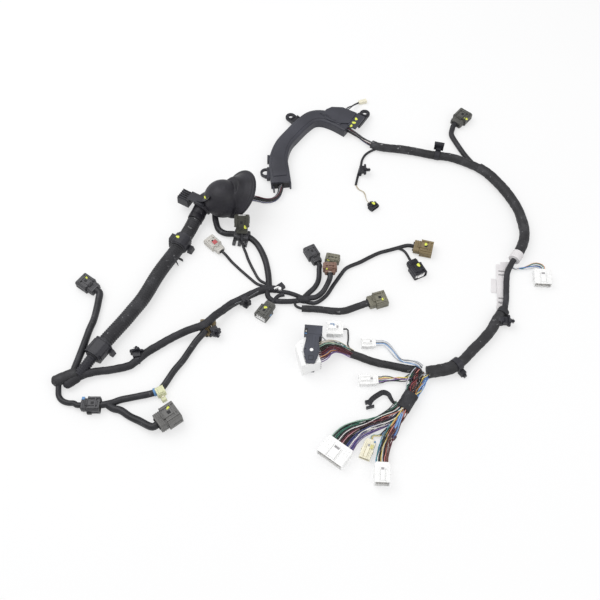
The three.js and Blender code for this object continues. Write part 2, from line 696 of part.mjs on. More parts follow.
function middleTrunk(grow = 0) {
  return cable(middleRoute, middleTrunkRadius, grow);
}

function outerTrunk(grow = 0) {
  return join(
    cable(outerRoute, outerTrunkRadius, grow, trunkSides),
    cable(outerBendRoute, outerBendRadius, grow, trunkSides),
  );
}

function endSleeve(grow = 0) {
  return join(
    cable(endSleeveRoute, endSleeveRadius, grow, trunkSides),
    cable(endSleeveThickRoute, endSleeveThickRadius, grow, trunkSides),
  );
}

function frontTrunk(grow = 0) {
  return cable(frontTrunkRoute, frontTrunkRadius, grow);
}

function dropCable(grow = 0) {
  return cable(dropRoute, dropCableRadius, grow);
}

// The drop cable with the two thin cables that join its lower end
function dropCables(grow = 0) {
  return join(
    dropCable(grow),
    cableTo(thinNearRoute.toReversed(), thinCableRadius, plugs.upright, grow),
    cableTo(thinFarRoute.toReversed(), thinCableRadius, plugs.greyWhite, grow),
  );
}

// The long loop cable from the inline plug to the middle trunk, with the large plug's branch
function loopLong(grow = 0) {
  const front = new THREE.Vector3(plugs.inline.length, 0, plugs.inline.entry);
  front.applyMatrix4(plugs.inline.place);
  const start = [front.x + clearance, front.y, front.z];
  return join(
    cable([start, ...loopLongRoute], armCableRadius, grow),
    cableTo(greyBranchRoute, greyBranchRadius, plugs.large, grow),
  );
}

function coverWires(grow = 0) {
  return cable(coverWiresRoute, coverWiresRadius, grow);
}

// The two cables between the middle joint and the branch joint, and those of the plug cluster
function centreCables(grow = 0) {
  return join(
    cable(linkUpperRoute, linkCableRadius, grow),
    cable(linkLowerRoute, lowerLinkRadius, grow),
    cable(branchJointRoute, branchJointRadius, grow),
    cableTo(clusterLeftRoute, clusterCableRadius, plugs.clusterTop, grow),
    cableTo(clusterRightRoute, clusterCableRadius, plugs.clusterBottom, grow),
    cableTo(clusterMiddleRoute, thinCableRadius, plugs.clusterMiddle, grow),
    cableTo(lowerLeadRoute, lowerLeadRadius, plugs.lower, grow),
  );
}

// Rubber grommet: a dome over the conduit's end, opening into a wide tilted flange
const domeRings = 8;
const flangeSegments = roundSegments + 4;
const grommetMouthRadius = grommetFlangeRadius - grommetSkirtFrontInset - grommetWall;
const grommetThroatRadius = grommetNeckRadius - 2 * grommetWall;
const grommetPlace = seat(grommetFlangeCentre, grommetYaw, -grommetDip);

function grommetDome(grow) {
  const dome = new THREE.SphereGeometry(grommetDomeRadius + grow, roundSegments, domeRings);
  return solid(dome.translate(...grommetDomeCentre));
}

function grommetSkirt(inset, overlap = 0) {
  const back = grommetDomeRadius - grommetSkirtBackInset - inset;
  const front = grommetFlangeRadius - grommetSkirtFrontInset - inset;
  const skirt = new THREE.CylinderGeometry(front, back, grommetSkirtReach, roundSegments);
  skirt.rotateZ(-Math.PI / 2).translate(overlap - grommetSkirtReach / 2, 0, 0);
  return solid(skirt.applyMatrix4(grommetPlace));
}

// A disc square to the flange's axis
function grommetDisc(x0, x1, radius, segments = flangeSegments) {
  return solid(drum(x0, x1, radius, segments).applyMatrix4(grommetPlace));
}

// The outside of the dome and its neck, grown by the clearance, to cut what lies against them
function grommetTools() {
  return [grommetDome(clearance), cable(grommetNeckRoute, grommetNeckRadius, clearance)];
}

function grommet() {
  const half = grommetFlangeThickness / 2;
  const shell = join(
    grommetDome(0), grommetSkirt(0), cable(grommetNeckRoute, grommetNeckRadius),
    grommetDisc(-half, half, grommetFlangeRadius),
    grommetDisc(-half - grommetLipDepth, half, grommetFlangeRadius - grommetLipInset),
  );
  return cut(
    shell, grommetDome(-grommetWall), grommetSkirt(grommetWall, 1),
    grommetDisc(-half - grommetWall, half + 1, grommetMouthRadius, roundSegments),
    grommetDisc(half, half + grommetDomeRadius, grommetFlangeRadius + grommetWall),
    neckSleeve(clearance), coverWires(clearance), cable(grommetThroatRoute, grommetThroatRadius),
    blockAt(floorBlock),
  );
}

// Cable cover: a tray with a lid, a narrow curved run with a wide foot, and its fixing tabs
const coverStep = 12;
const coverOpenEnd = 4;
const coverOpenTop = 5;

function coverRun(width, z0, z1, route, extend = 0) {
  const points = route.map(([x, y]) => new THREE.Vector3(x, y, (z0 + z1) / 2));
  if (extend) {
    const first = points[0].clone().sub(points[1]).setLength(extend).add(points[0]);
    const last = points.at(-1).clone().sub(points.at(-2)).setLength(extend).add(points.at(-1));
    points.unshift(first);
    points.push(last);
  }
  const [h, w] = [(z1 - z0) / 2, width / 2];
  const corners = [[-h, -w], [h, -w], [h, w], [-h, w]];
  const section = new THREE.Shape(corners.map((corner) => new THREE.Vector2(...corner)));
  return swept(section, points.map((p) => p.toArray()), coverStep);
}

function fixingTab({ at, heading, length, root }) {
  const outline = new THREE.Shape();
  const half = coverTabWidth / 2;
  outline.moveTo(-root, -half);
  outline.lineTo(length - half, -half);
  outline.absarc(length - half, 0, half, -Math.PI / 2, Math.PI / 2);
  outline.lineTo(-root, half);
  const hole = new THREE.Path();
  hole.absarc(length - half, 0, coverHoleRadius, 0, 2 * Math.PI, true);
  outline.holes.push(hole);
  const tab = plate(outline, coverTabHeight, coverTabHeight + coverTabThickness);
  return solid(tab.applyMatrix4(seat([...at, 0], heading)));
}

// The hook on the cover's side: an open ring on a foot
function coverHookSolid() {
  const outline = new THREE.Shape();
  outline.absarc(0, 0, coverHookRadius, -0.3 * Math.PI, 1.2 * Math.PI);
  const hole = new THREE.Path();
  hole.absarc(1, 0, coverHookHoleRadius, 0, 2 * Math.PI, true);
  outline.holes.push(hole);
  const ring = plate(outline, coverHook.z0, coverHook.z1);
  const place = seat(coverHook.at, coverHook.heading);
  return join(solid(ring.applyMatrix4(place)), blockAt(coverHook.foot));
}

function coverTray() {
  const foot = coverRun(coverWideWidth, 0, coverHeight, coverFootRoute);
  const run = coverRun(coverNarrowWidth, 0, coverHeight, coverRunRoute);
  const [wide, narrow] = [coverWideWidth, coverNarrowWidth].map((width) => width - 2 * coverWall);
  const top = coverHeight + coverOpenTop;
  return join(
    cut(
      join(foot, run),
      coverRun(wide, coverWall, top, coverFootRoute, coverOpenEnd),
      coverRun(narrow, coverWall, top, coverRunRoute, coverOpenEnd),
    ),
    fixingTab(sideTab),
    fixingTab(rearTab),
    coverHookSolid(),
  );
}

function coverLidPlate() {
  const z0 = coverHeight + clearance;
  const z1 = z0 + coverLid;
  const foot = coverRun(coverWideWidth, z0, z1, coverFootRoute);
  const run = coverRun(coverNarrowWidth, z0, z1, coverRunRoute);
  const wide = new THREE.Shape(coverWidePlate.map((corner) => new THREE.Vector2(...corner)));
  const spine = coverRun(
    coverNarrowWidth - coverSpineInset, z1 - 1, z1 + coverSpineRise, coverRunRoute.slice(1, 7),
  );
  const plates = [solid(plate(wide, z0, z1 + coverWidePlateRise)), blockAt([...coverTongue, z0, z1])];
  const barHalf = rearBar.width / 2;
  const barPlace = seat(rearBar.at, rearBar.heading);
  const bar = blockAt([0, rearBar.length, -barHalf, barHalf, z0, z1 + coverBarRise], barPlace);
  return join(foot, run, ...plates, bar, spine);
}

// Lever plug: a many-way housing with round pins, and the lever that locks it to its mate
const leverPin = [3.1, -151.7];
const leverMating = 196;
const leverRest = 85;
const leverFloor = leverLift + leverArmThickness + clearance;
const leverRoof = leverFloor + leverHousingHeight;
const leverTop = leverRoof + clearance + leverArmThickness;
const leverPlace = seat([...leverPin, 0], leverMating);
const pinSides = 12;
const hubArc = [0.42 * Math.PI, 0.6 * Math.PI];

function leverHousing() {
  const rear = -leverPinInset;
  const front = leverHousingLength - leverPinInset;
  const outline = new THREE.Shape();
  const startAngle = Math.asin(front / leverEndRadius);
  const endAngle = Math.asin(rear / leverEndRadius);
  outline.moveTo(rear, leverSouthReach);
  outline.lineTo(rear, -leverEndRadius * Math.cos(endAngle));
  outline.absarc(0, 0, leverEndRadius, -Math.PI / 2 + endAngle, -Math.PI / 2 + startAngle);
  outline.lineTo(front, leverSouthReach);
  const body = plate(outline, leverFloor, leverRoof);
  const { from, side, rise } = leverCollar;
  const collar = block(from, front, side, leverSouthReach, 0, leverTop + rise);
  const pin = new THREE.CylinderGeometry(leverPinRadius, leverPinRadius, leverTop - leverLift, pinSides);
  pin.rotateX(Math.PI / 2).translate(0, 0, (leverTop + leverLift) / 2);
  return join(solid(body), solid(collar), solid(pin));
}

function lockLever() {
  const half = leverBarWidth / 2;
  const barStart = leverEndRadius + 3 * clearance;
  const barEnd = barStart + leverBarDepth;
  const arm = new THREE.Shape();
  arm.moveTo(barEnd, -half);
  arm.lineTo(barEnd, half);
  arm.lineTo(barStart, half);
  arm.lineTo(barStart - leverShoulder, leverWaist);
  arm.absarc(0, 0, leverHubRadius, hubArc[0], hubArc[1]);
  arm.lineTo(-leverTailReach, leverTailWidth / 2);
  arm.lineTo(-leverTailReach, -leverTailWidth / 2);
  arm.absarc(0, 0, leverHubRadius, -hubArc[1], -hubArc[0]);
  arm.lineTo(barStart - leverShoulder, -leverWaist);
  arm.lineTo(barStart, -half);
  const hole = new THREE.Path();
  hole.absarc(0, 0, leverPinRadius + clearance, 0, 2 * Math.PI, true);
  arm.holes.push(hole);
  const low = plate(arm, leverLift, leverLift + leverArmThickness);
  const high = plate(arm, leverTop - leverArmThickness, leverTop);
  const bar = block(barStart, barEnd, -half, half, leverLift, leverTop);
  return join(solid(low), solid(high), solid(bar));
}

// A clip's saddle: a round-edged block centred on its place
function saddle({ halfLength, width, height, corner }, place) {
  const body = roundedBlock(-halfLength, halfLength, width, height, 0, corner);
  return solid(body.applyMatrix4(place));
}

function conduitClamp() {
  const place = seat(clamp.at, clamp.heading);
  return cut(join(saddle(clamp, place), blockAt(clamp.ear, place)), conduit(clearance));
}

function conduitClip() {
  const place = seat(ringClip.at, ringClip.heading);
  const ends = [ringClip.head, ringClip.foot].map((corners) => blockAt(corners, place));
  return cut(join(saddle(ringClip, place), ...ends), conduit(clearance));
}

function cornerBracket() {
  const place = seat(bracket.at, bracket.heading);
  const { boss, arm } = bracket;
  const bossBody = roundedBlock(
    boss.from, boss.to, boss.width, boss.height, boss.z, bracket.bossCorner,
  );
  const armBody = roundedBlock(arm.from, arm.to, arm.width, arm.height, arm.z, bracket.armCorner);
  const body = join(
    solid(bossBody.applyMatrix4(place)), solid(armBody.applyMatrix4(place)),
    blockAt(bracket.drop, place),
  );
  return cut(body, ...grommetTools(), neckSleeve(clearance));
}

function dropClip() {
  const place = seat(prongClip.at, prongClip.heading);
  const prongs = prongClip.prongs.map((corners) => blockAt(corners, place));
  return cut(join(saddle(prongClip, place), ...prongs), dropCables(clearance));
}

function armClip() {
  const place = seat(smallClip.at, smallClip.heading);
  return cut(join(saddle(smallClip, place), blockAt(smallClip.tail, place)), loopLong(clearance));
}

function flagLabel() {
  const place = seat(flag.at, flag.heading);
  const ringRadius = outerBendRadius + clearance + labelThickness;
  const ring = drum(-flag.ringHalf, flag.ringHalf, ringRadius, 14);
  const paper = join(
    blockAt([...flag.strip, 0, labelThickness], place),
    blockAt([...flag.flap, 0, labelThickness], place),
    blockAt([...flag.tongue, 0, labelThickness + flag.tongueRise]),
    solid(ring.applyMatrix4(seat(flag.ringAt, flag.ringHeading))),
  );
  return cut(paper, outerTrunk(clearance), cable(outerThinRoute, outerThinRadius, clearance));
}

// The tape wrap on the coloured bundle, with the loose strap that its clip left behind
const strapStep = 6;

function bundleWrap(grow = 0) {
  return bundle(wrapRoute, wrap, grow);
}

function wrapWithStrap() {
  const [w, t] = [strap.width / 2, strap.thickness / 2];
  const corners = [[-w, -t], [w, -t], [w, t], [-w, t]];
  const section = new THREE.Shape(corners.map((corner) => new THREE.Vector2(...corner)));
  return join(bundleWrap(), swept(section, strapRoute, strapStep), blockAt(strapToe));
}

// Assembly, from the left to the right
add("hub_wrap", hub(), finishes.tape);
add("corrugated_conduit", cut(conduit(), hub(clearance)), finishes.sheath);
const sensorCable = cableTo(sensorRoute.toReversed(), sensorCableRadius, plugs.leftSensor);
add("sensor_cable", cut(sensorCable, hub(clearance), conduit(clearance)), finishes.sheath);
const middleClips = [pushClip([-236, -152], 100), pushClip([-91, -60], -80)];
const middleBody = cut(middleTrunk(), hub(clearance), conduit(clearance));
add("middle_trunk", join(middleBody, ...middleClips), finishes.tape);
const loopShort = cableTo(loopShortRoute, loopCableRadius, plugs.inline);
add("loop_cable_short", cut(loopShort, hub(clearance)), finishes.sheath);
const loopTools = [middleTrunk(clearance), blockAt(tuckedRoom)];
add("loop_cable_long", cut(loopLong(), ...loopTools), finishes.sheath);
add("drop_cables", cut(dropCables(), middleTrunk(clearance), ...grommetTools()), finishes.sheath);
const centre = join(centreCables(), blockAt(squareTag));
add("centre_cables", cut(centre, middleTrunk(clearance), dropCables(clearance)), finishes.sheath);
const side = cableTo(sideRoute, sideCableRadius, plugs.brown);
const branchLead = cableTo(branchLeadRoute, leadRadius, plugs.hook);
add("side_cable", cut(join(side, branchLead), centreCables(clearance)), finishes.sheath);
const sleeve = cableTo(sleeveRoute, sleeveCableRadius, plugs.sleeve);
const sleeveLead = cut(cable(sleeveLeadRoute, leadRadius), centreCables(clearance));
add("sleeve_cable", join(sleeve, sleeveLead), finishes.tape);

add("neck_sleeve", neckSleeve(), finishes.tape);
add("grommet", grommet(), finishes.sheath);
const wiresInside = cut(coverWires(), neckSleeve(clearance), outerTrunk(clearance));
add("cover_wires", wiresInside, finishes.wires);
add("cable_cover_tray", coverTray(), finishes.black);
add("cable_cover_lid", coverLidPlate(), finishes.black);
const stubPlug = blockAt(stubEnd.block, seat(stubEnd.at, stubEnd.heading));
add("stub_lead", join(cable(stubRoute, leadRadius), stubPlug), finishes.cream);

const outerBlocks = outerClip.blocks.map((corners) => blockAt(corners));
const saddleClip = join(band(outerClip, outerTrunkRadius), ...outerBlocks);
const outerBody = join(outerTrunk(), cable(outerThinRoute, outerThinRadius), saddleClip);
add("outer_trunk", cut(outerBody, endSleeve(clearance)), finishes.tape);
const [endX, endY] = endClip.at;
const endClips = [
  pushClip([274, -96], 0),
  band(endClip, endSleeveThickRadius),
  blockAt(endClip.head, seat([endX, endY, 0], endClip.heading)),
];
add("end_sleeve", join(endSleeve(), ...endClips), finishes.tape);
const cornerCable = cableTo(cornerRoute, cornerCableRadius, plugs.corner);
add("corner_cable", cut(cornerCable, outerTrunk(clearance)), finishes.sheath);
const thinTop = join(cableTo(thinTopRoute, leadRadius, plugs.tiny), pushClip([83, 178], 0));
add("thin_top_cable", cut(thinTop, outerTrunk(clearance)), finishes.sheath);
add("flag_label", flagLabel(), finishes.paper);
const labelWires = cableTo(labelLeadRoute, leadRadius, plugs.label);
const thinOuterTool = cable(outerThinRoute, outerThinRadius, clearance);
add("label_plug_wires", cut(labelWires, thinOuterTool, flagLabel()), finishes.sheath);

add("front_trunk", cut(frontTrunk(), endSleeve(clearance)), finishes.tape);
const leverPlug = {
  place: leverPlace.clone().multiply(seat([-leverPinInset, 0, 0], 0)),
  length: leverHousingLength,
  width: 2 * leverSouthReach,
  height: leverTop,
  entry: (leverFloor + leverRoof) / 2,
};
const leverWires = trimmed(bundle(route(leverWiresRoute, leverPlug), leverBundle), leverPlug);
add("lever_plug_wires", cut(leverWires, frontTrunk(clearance)), finishes.wires);
const leverWiresTool = bundle(route(leverWiresRoute, leverPlug), leverBundle, clearance);
const single = cableTo(singleWireRoute, singleWireRadius, plugs.upperSingle);
add("single_wire", cut(single, frontTrunk(clearance), leverWiresTool), finishes.sheath);
const sleeveTools = [frontTrunk(clearance), endSleeve(clearance)];
const upperSmall = (grow) => {
  return cableTo(upperSmallRoute.toReversed(), smallWiresRadius, plugs.upperSmall, grow);
};
add("upper_small_wires", cut(upperSmall(0), ...sleeveTools), finishes.paleWires);
const lowerSmall = cableTo(lowerSmallRoute.toReversed(), smallWiresRadius, plugs.lowerSmall);
const mainTool = bundle(mainBundleRoute, mainBundle, clearance);
add("lower_small_wires", cut(lowerSmall, ...sleeveTools, mainTool), finishes.wires);
const mainTools = [...sleeveTools, bundleWrap(clearance), upperSmall(clearance)];
add("main_bundle", cut(bundle(mainBundleRoute, mainBundle), ...mainTools), finishes.wires);
add("bundle_wrap", wrapWithStrap(), finishes.tape);
const rightTo = trimmed(bundle(route(rightBundleRoute, plugs.end), rightBundle), plugs.end);
const yellowLead = cableTo(yellowLeadRoute, leadRadius, plugs.yellowed);
add("right_bundle", cut(join(rightTo, yellowLead), bundleWrap(clearance)), finishes.wires);
const leftTo = trimmed(bundle(route(leftBundleRoute, plugs.wide), leftBundle), plugs.wide);
const leftTools = [bundleWrap(clearance), bundle(rightBundleRoute, rightBundle, clearance)];
add("left_bundle", cut(leftTo, ...leftTools), finishes.wires);

Object.values(plugs).forEach(({ name, body, finish, place }) => add(name, body, finish, place));
add("lever_plug_housing", leverHousing(), finishes.white, leverPlace);
add("lock_lever", lockLever(), finishes.black, seat([...leverPin, 0], leverRest));

add("conduit_clamp", conduitClamp(), finishes.darkGrey);
add("conduit_clip", conduitClip(), finishes.black);
add("corner_bracket", cornerBracket(), finishes.black);
add("drop_clip", dropClip(), finishes.darkGrey);
add("arm_clip", armClip(), finishes.yellowed);

export default parts;
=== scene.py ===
# A vehicle wiring harness laid out on a pale floor. Everything is in metres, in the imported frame:
# +X to the right, +Y away from the camera, +Z up, and the floor at z = 0.
import json
import math
import random

import bpy
from mathutils import Matrix, Vector, noise


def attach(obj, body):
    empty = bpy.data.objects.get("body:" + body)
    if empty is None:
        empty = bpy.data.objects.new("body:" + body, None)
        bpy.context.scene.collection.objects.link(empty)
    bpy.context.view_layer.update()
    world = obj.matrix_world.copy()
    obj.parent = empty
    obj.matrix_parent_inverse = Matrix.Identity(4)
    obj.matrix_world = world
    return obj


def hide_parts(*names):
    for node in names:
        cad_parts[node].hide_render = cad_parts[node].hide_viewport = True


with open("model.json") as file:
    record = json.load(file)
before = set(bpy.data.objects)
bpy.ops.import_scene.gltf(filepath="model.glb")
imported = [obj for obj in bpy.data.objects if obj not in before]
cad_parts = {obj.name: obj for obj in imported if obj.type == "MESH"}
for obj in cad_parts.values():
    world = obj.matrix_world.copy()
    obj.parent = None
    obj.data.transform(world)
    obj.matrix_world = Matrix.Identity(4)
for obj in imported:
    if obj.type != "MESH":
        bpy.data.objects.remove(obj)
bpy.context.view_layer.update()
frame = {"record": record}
scene = bpy.context.scene
harness = "harness"
up_axis = Vector((0, 0, 1))
full_turn = 2 * math.pi

# Camera at the viewing angle of the photograph
image_pixels = 600
focal_pixels = 833
camera_place = Vector((-0.0125, -0.67405, 1.0286))
camera_target = Vector((-0.0125, -0.056, 0))
camera_data = bpy.data.cameras.new("camera")
camera_data.sensor_width = 36
camera_data.lens = camera_data.sensor_width * focal_pixels / image_pixels
camera = bpy.data.objects.new("camera", camera_data)
camera.location = camera_place
camera.rotation_euler = (camera_target - camera_place).to_track_quat("-Z", "Y").to_euler()
scene.collection.objects.link(camera)
scene.camera = camera

# Radii of the cables
conduit_radius = 0.0105
conduit_thin_radius = 0.0075
neck_sleeve_radius = 0.012
sensor_radius = 0.0052
middle_radius = 0.0058
loop_radius = 0.004
arm_radius = 0.0048
drop_radius = 0.0048
thin_radius = 0.0022
link_radius = 0.0034
cluster_radius = 0.004
side_radius = 0.003
lead_radius = 0.002
lower_lead_radius = 0.003
sleeve_radius = 0.0052
outer_radius = 0.0068
outer_bend_radius = 0.008
outer_thin_radius = 0.0044
end_sleeve_radius = 0.0076
end_sleeve_thick_radius = 0.009
corner_radius = 0.0044
front_radius = 0.0056
wire_radius = 0.00095
small_wire_radius = 0.0008
bundle_wire_radius = 0.0007
thin_wire_radius = 0.00066

# Routes, as in the construction
conduit_route = [
    (-0.297, -0.155, 0.011), (-0.29, -0.143, 0.011), (-0.28, -0.127, 0.011), (-0.269, -0.111, 0.011),
    (-0.258, -0.095, 0.011), (-0.248, -0.079, 0.011), (-0.238, -0.063, 0.011), (-0.23, -0.046, 0.011),
    (-0.223, -0.029, 0.011), (-0.215, -0.012, 0.011), (-0.205, 0.006, 0.011), (-0.196, 0.022, 0.011),
    (-0.189, 0.036, 0.011), (-0.178, 0.06, 0.011), (-0.172, 0.076, 0.0115),
]
neck_sleeve_route = [(-0.1715, 0.077, 0.012), (-0.166, 0.09, 0.013), (-0.16, 0.103, 0.017)]
hub_route = [
    (-0.347, -0.192, 0.0095), (-0.337, -0.187, 0.0095), (-0.324, -0.181, 0.0095),
    (-0.312, -0.176, 0.0095),
]
sensor_route = [
    (-0.301, -0.06, 0.006), (-0.302, -0.076, 0.0053), (-0.304, -0.092, 0.0053),
    (-0.308, -0.108, 0.0053), (-0.311, -0.124, 0.0053), (-0.314, -0.14, 0.0055),
    (-0.317, -0.156, 0.0065), (-0.319, -0.168, 0.008), (-0.321, -0.178, 0.009),
]
middle_route = [
    (-0.316, -0.184, 0.008), (-0.304, -0.178, 0.0075), (-0.291, -0.174, 0.007), (-0.272, -0.171, 0.006),
    (-0.258, -0.168, 0.006), (-0.245, -0.164, 0.006), (-0.235, -0.155, 0.006), (-0.226, -0.146, 0.006),
    (-0.22, -0.141, 0.006), (-0.207, -0.132, 0.006), (-0.194, -0.123, 0.006), (-0.18, -0.116, 0.008),
    (-0.166, -0.112, 0.013), (-0.154, -0.109, 0.0156), (-0.143, -0.103, 0.0159),
    (-0.132, -0.091, 0.0156), (-0.122, -0.079, 0.01), (-0.111, -0.067, 0.0065), (-0.098, -0.059, 0.006),
    (-0.084, -0.051, 0.006), (-0.07, -0.044, 0.006), (-0.058, -0.041, 0.006), (-0.047, -0.042, 0.006),
]
loop_short_route = [
    (-0.338, -0.19, 0.008), (-0.3375, -0.2, 0.006), (-0.336, -0.209, 0.0043), (-0.33, -0.216, 0.0043),
    (-0.322, -0.219, 0.0043), (-0.314, -0.22, 0.0055),
]
loop_long_route = [
    (-0.271, -0.222, 0.007), (-0.262, -0.219, 0.0054), (-0.253, -0.215, 0.005), (-0.24, -0.212, 0.005),
    (-0.227, -0.209, 0.005), (-0.214, -0.206, 0.005), (-0.203, -0.202, 0.005), (-0.197, -0.195, 0.005),
    (-0.192, -0.186, 0.005), (-0.184, -0.171, 0.005), (-0.173, -0.155, 0.005), (-0.165, -0.14, 0.005),
    (-0.157, -0.126, 0.0054), (-0.149, -0.117, 0.008), (-0.144, -0.111, 0.011),
]
grey_branch_route = [
    (-0.27, -0.221, 0.006), (-0.261, -0.227, 0.005), (-0.251, -0.23, 0.005), (-0.237, -0.239, 0.005),
    (-0.225, -0.245, 0.006),
]
drop_route = [
    (-0.141, 0.104, 0.017), (-0.1415, 0.098, 0.01), (-0.142, 0.09, 0.0055), (-0.14, 0.079, 0.005),
    (-0.135, 0.065, 0.005), (-0.125, 0.058, 0.005), (-0.113, 0.057, 0.005), (-0.1, 0.055, 0.005),
    (-0.088, 0.05, 0.005), (-0.078, 0.04, 0.005), (-0.071, 0.028, 0.005), (-0.064, 0.01, 0.005),
    (-0.06, -0.008, 0.005), (-0.058, -0.024, 0.005), (-0.057, -0.04, 0.006),
]
thin_near_route = [
    (-0.099, 0.042, 0.008), (-0.097, 0.034, 0.004), (-0.093, 0.024, 0.0026), (-0.089, 0.012, 0.0024),
    (-0.081, -0.006, 0.0024), (-0.071, -0.024, 0.0026), (-0.0585, -0.033, 0.005),
]
thin_far_route = [
    (-0.12, 0.016, 0.0045), (-0.114, 0.009, 0.0026), (-0.101, -0.005, 0.0024), (-0.086, -0.02, 0.0024),
    (-0.074, -0.031, 0.0028), (-0.06, -0.037, 0.005),
]
link_upper_route = [
    (-0.056, -0.042, 0.006), (-0.041, -0.044, 0.004), (-0.027, -0.047, 0.004), (-0.014, -0.053, 0.005),
    (-0.006, -0.058, 0.006),
]
link_lower_route = [
    (-0.06, -0.044, 0.006), (-0.058, -0.054, 0.0055), (-0.051, -0.06, 0.0046), (-0.041, -0.061, 0.0044),
    (-0.027, -0.061, 0.0044), (-0.015, -0.06, 0.005), (-0.006, -0.059, 0.006),
]
cluster_left_route = [
    (-0.008, -0.057, 0.006), (0, -0.047, 0.0044), (0.009, -0.037, 0.0043), (0.014, -0.026, 0.0043),
    (0.0155, -0.014, 0.0043), (0.0155, -0.006, 0.005),
]
cluster_right_route = [
    (-0.008, -0.059, 0.006), (0, -0.056, 0.005), (0.01, -0.054, 0.0046), (0.02, -0.046, 0.0054),
    (0.0265, -0.036, 0.009),
]
cluster_middle_route = [
    (0.014, -0.051, 0.004), (0.022, -0.043, 0.0026), (0.027, -0.034, 0.0024), (0.03, -0.024, 0.0024),
    (0.031, -0.014, 0.0024), (0.0315, -0.009, 0.0035),
]
side_route = [
    (-0.008, -0.061, 0.006), (0, -0.063, 0.0042), (0.01, -0.063, 0.0036), (0.024, -0.052, 0.0032),
    (0.0365, -0.032, 0.0032), (0.047, -0.015, 0.0032), (0.054, -0.005, 0.0032), (0.061, 0, 0.0032),
    (0.076, 0.007, 0.0032), (0.091, 0.016, 0.0032), (0.106, 0.024, 0.0032), (0.122, 0.029, 0.0032),
    (0.134, 0.033, 0.0032), (0.146, 0.036, 0.0042),
]
branch_lead_route = [
    (0.13, 0.032, 0.0032), (0.137, 0.031, 0.0026), (0.143, 0.027, 0.0024), (0.147, 0.019, 0.0032),
]
sleeve_route = [
    (-0.01, -0.0735, 0.0054), (0.002, -0.074, 0.0054), (0.016, -0.075, 0.0054), (0.03, -0.077, 0.0054),
    (0.044, -0.078, 0.0054), (0.052, -0.077, 0.0054), (0.06, -0.074, 0.0054), (0.073, -0.069, 0.006),
]
cover_wires_route = [
    (-0.158, 0.108, 0.019), (-0.142, 0.11, 0.025), (-0.125, 0.111, 0.024), (-0.107, 0.112, 0.022),
    (-0.091, 0.115, 0.019), (-0.078, 0.118, 0.012), (-0.066, 0.12, 0.0055), (-0.054, 0.122, 0.005),
    (-0.046, 0.129, 0.006), (-0.042, 0.143, 0.0074), (-0.043, 0.168, 0.0074), (-0.045, 0.195, 0.0074),
    (-0.038, 0.224, 0.0074), (-0.024, 0.249, 0.0074), (-0.006, 0.273, 0.0074), (0.008, 0.286, 0.0074),
    (0.024, 0.286, 0.0074), (0.043, 0.279, 0.0074), (0.063, 0.266, 0.0074), (0.079, 0.254, 0.0065),
    (0.094, 0.24, 0.0065), (0.104, 0.232, 0.007),
]
outer_route = [
    (0.103, 0.233, 0.007), (0.112, 0.228, 0.007), (0.12, 0.226, 0.007), (0.132, 0.224, 0.007),
    (0.148, 0.222, 0.007), (0.164, 0.219, 0.007), (0.18, 0.215, 0.007), (0.195, 0.211, 0.007),
    (0.211, 0.208, 0.007), (0.227, 0.205, 0.007), (0.242, 0.199, 0.007), (0.257, 0.191, 0.007),
    (0.272, 0.182, 0.007),
]
outer_bend_route = [
    (0.27, 0.183, 0.0082), (0.282, 0.172, 0.0082), (0.294, 0.156, 0.0082), (0.305, 0.138, 0.0082),
    (0.314, 0.119, 0.0082), (0.321, 0.099, 0.0082), (0.324, 0.08, 0.0082), (0.325, 0.062, 0.0082),
    (0.322, 0.044, 0.0084), (0.314, 0.026, 0.0088), (0.304, 0.01, 0.009),
]
outer_thin_route = [
    (0.304, 0.01, 0.009), (0.297, 0, 0.007), (0.291, -0.012, 0.005), (0.288, -0.025, 0.0046),
    (0.2855, -0.042, 0.0046), (0.283, -0.059, 0.0046), (0.279, -0.074, 0.006),
]
end_sleeve_route = [
    (0.277, -0.076, 0.0078), (0.271, -0.085, 0.0078), (0.264, -0.095, 0.0078), (0.255, -0.11, 0.0078),
    (0.241, -0.126, 0.0078), (0.226, -0.141, 0.0078), (0.211, -0.157, 0.008), (0.202, -0.164, 0.0084),
]
end_sleeve_thick_route = [
    (0.204, -0.162, 0.0092), (0.193, -0.169, 0.0092), (0.178, -0.173, 0.0092), (0.16, -0.176, 0.0092),
]
corner_route = [
    (0.261, 0.192, 0.007), (0.254, 0.206, 0.005), (0.246, 0.223, 0.0046), (0.239, 0.24, 0.0046),
    (0.234, 0.256, 0.0046), (0.2365, 0.267, 0.0055),
]
thin_top_route = [
    (0.119, 0.226, 0.007), (0.112, 0.226, 0.004), (0.103, 0.223, 0.0024), (0.093, 0.215, 0.0024),
    (0.087, 0.204, 0.0024), (0.084, 0.189, 0.0024), (0.081, 0.179, 0.0024), (0.078, 0.167, 0.0024),
    (0.075, 0.153, 0.0024), (0.079, 0.145, 0.0024), (0.087, 0.139, 0.0024), (0.092, 0.13, 0.0026),
]
front_trunk_route = [
    (0.153, -0.172, 0.008), (0.137, -0.17, 0.0065), (0.124, -0.167, 0.006), (0.111, -0.164, 0.006),
    (0.097, -0.161, 0.006), (0.084, -0.157, 0.006), (0.07, -0.151, 0.006), (0.058, -0.147, 0.007),
]
lever_wires_route = [
    (0.06, -0.147, 0.007), (0.05, -0.143, 0.008), (0.038, -0.139, 0.01), (0.026, -0.141, 0.0125),
]
upper_small_route = [
    (0.099, -0.128, 0.0042), (0.106, -0.129, 0.0034), (0.112, -0.135, 0.0032), (0.119, -0.145, 0.0032),
    (0.124, -0.153, 0.0045), (0.129, -0.159, 0.009), (0.137, -0.163, 0.0145), (0.146, -0.166, 0.016),
    (0.153, -0.17, 0.012),
]
lower_small_route = [
    (0.1, -0.184, 0.004), (0.108, -0.1835, 0.0036), (0.118, -0.184, 0.0036), (0.129, -0.184, 0.004),
    (0.14, -0.18, 0.007),
]
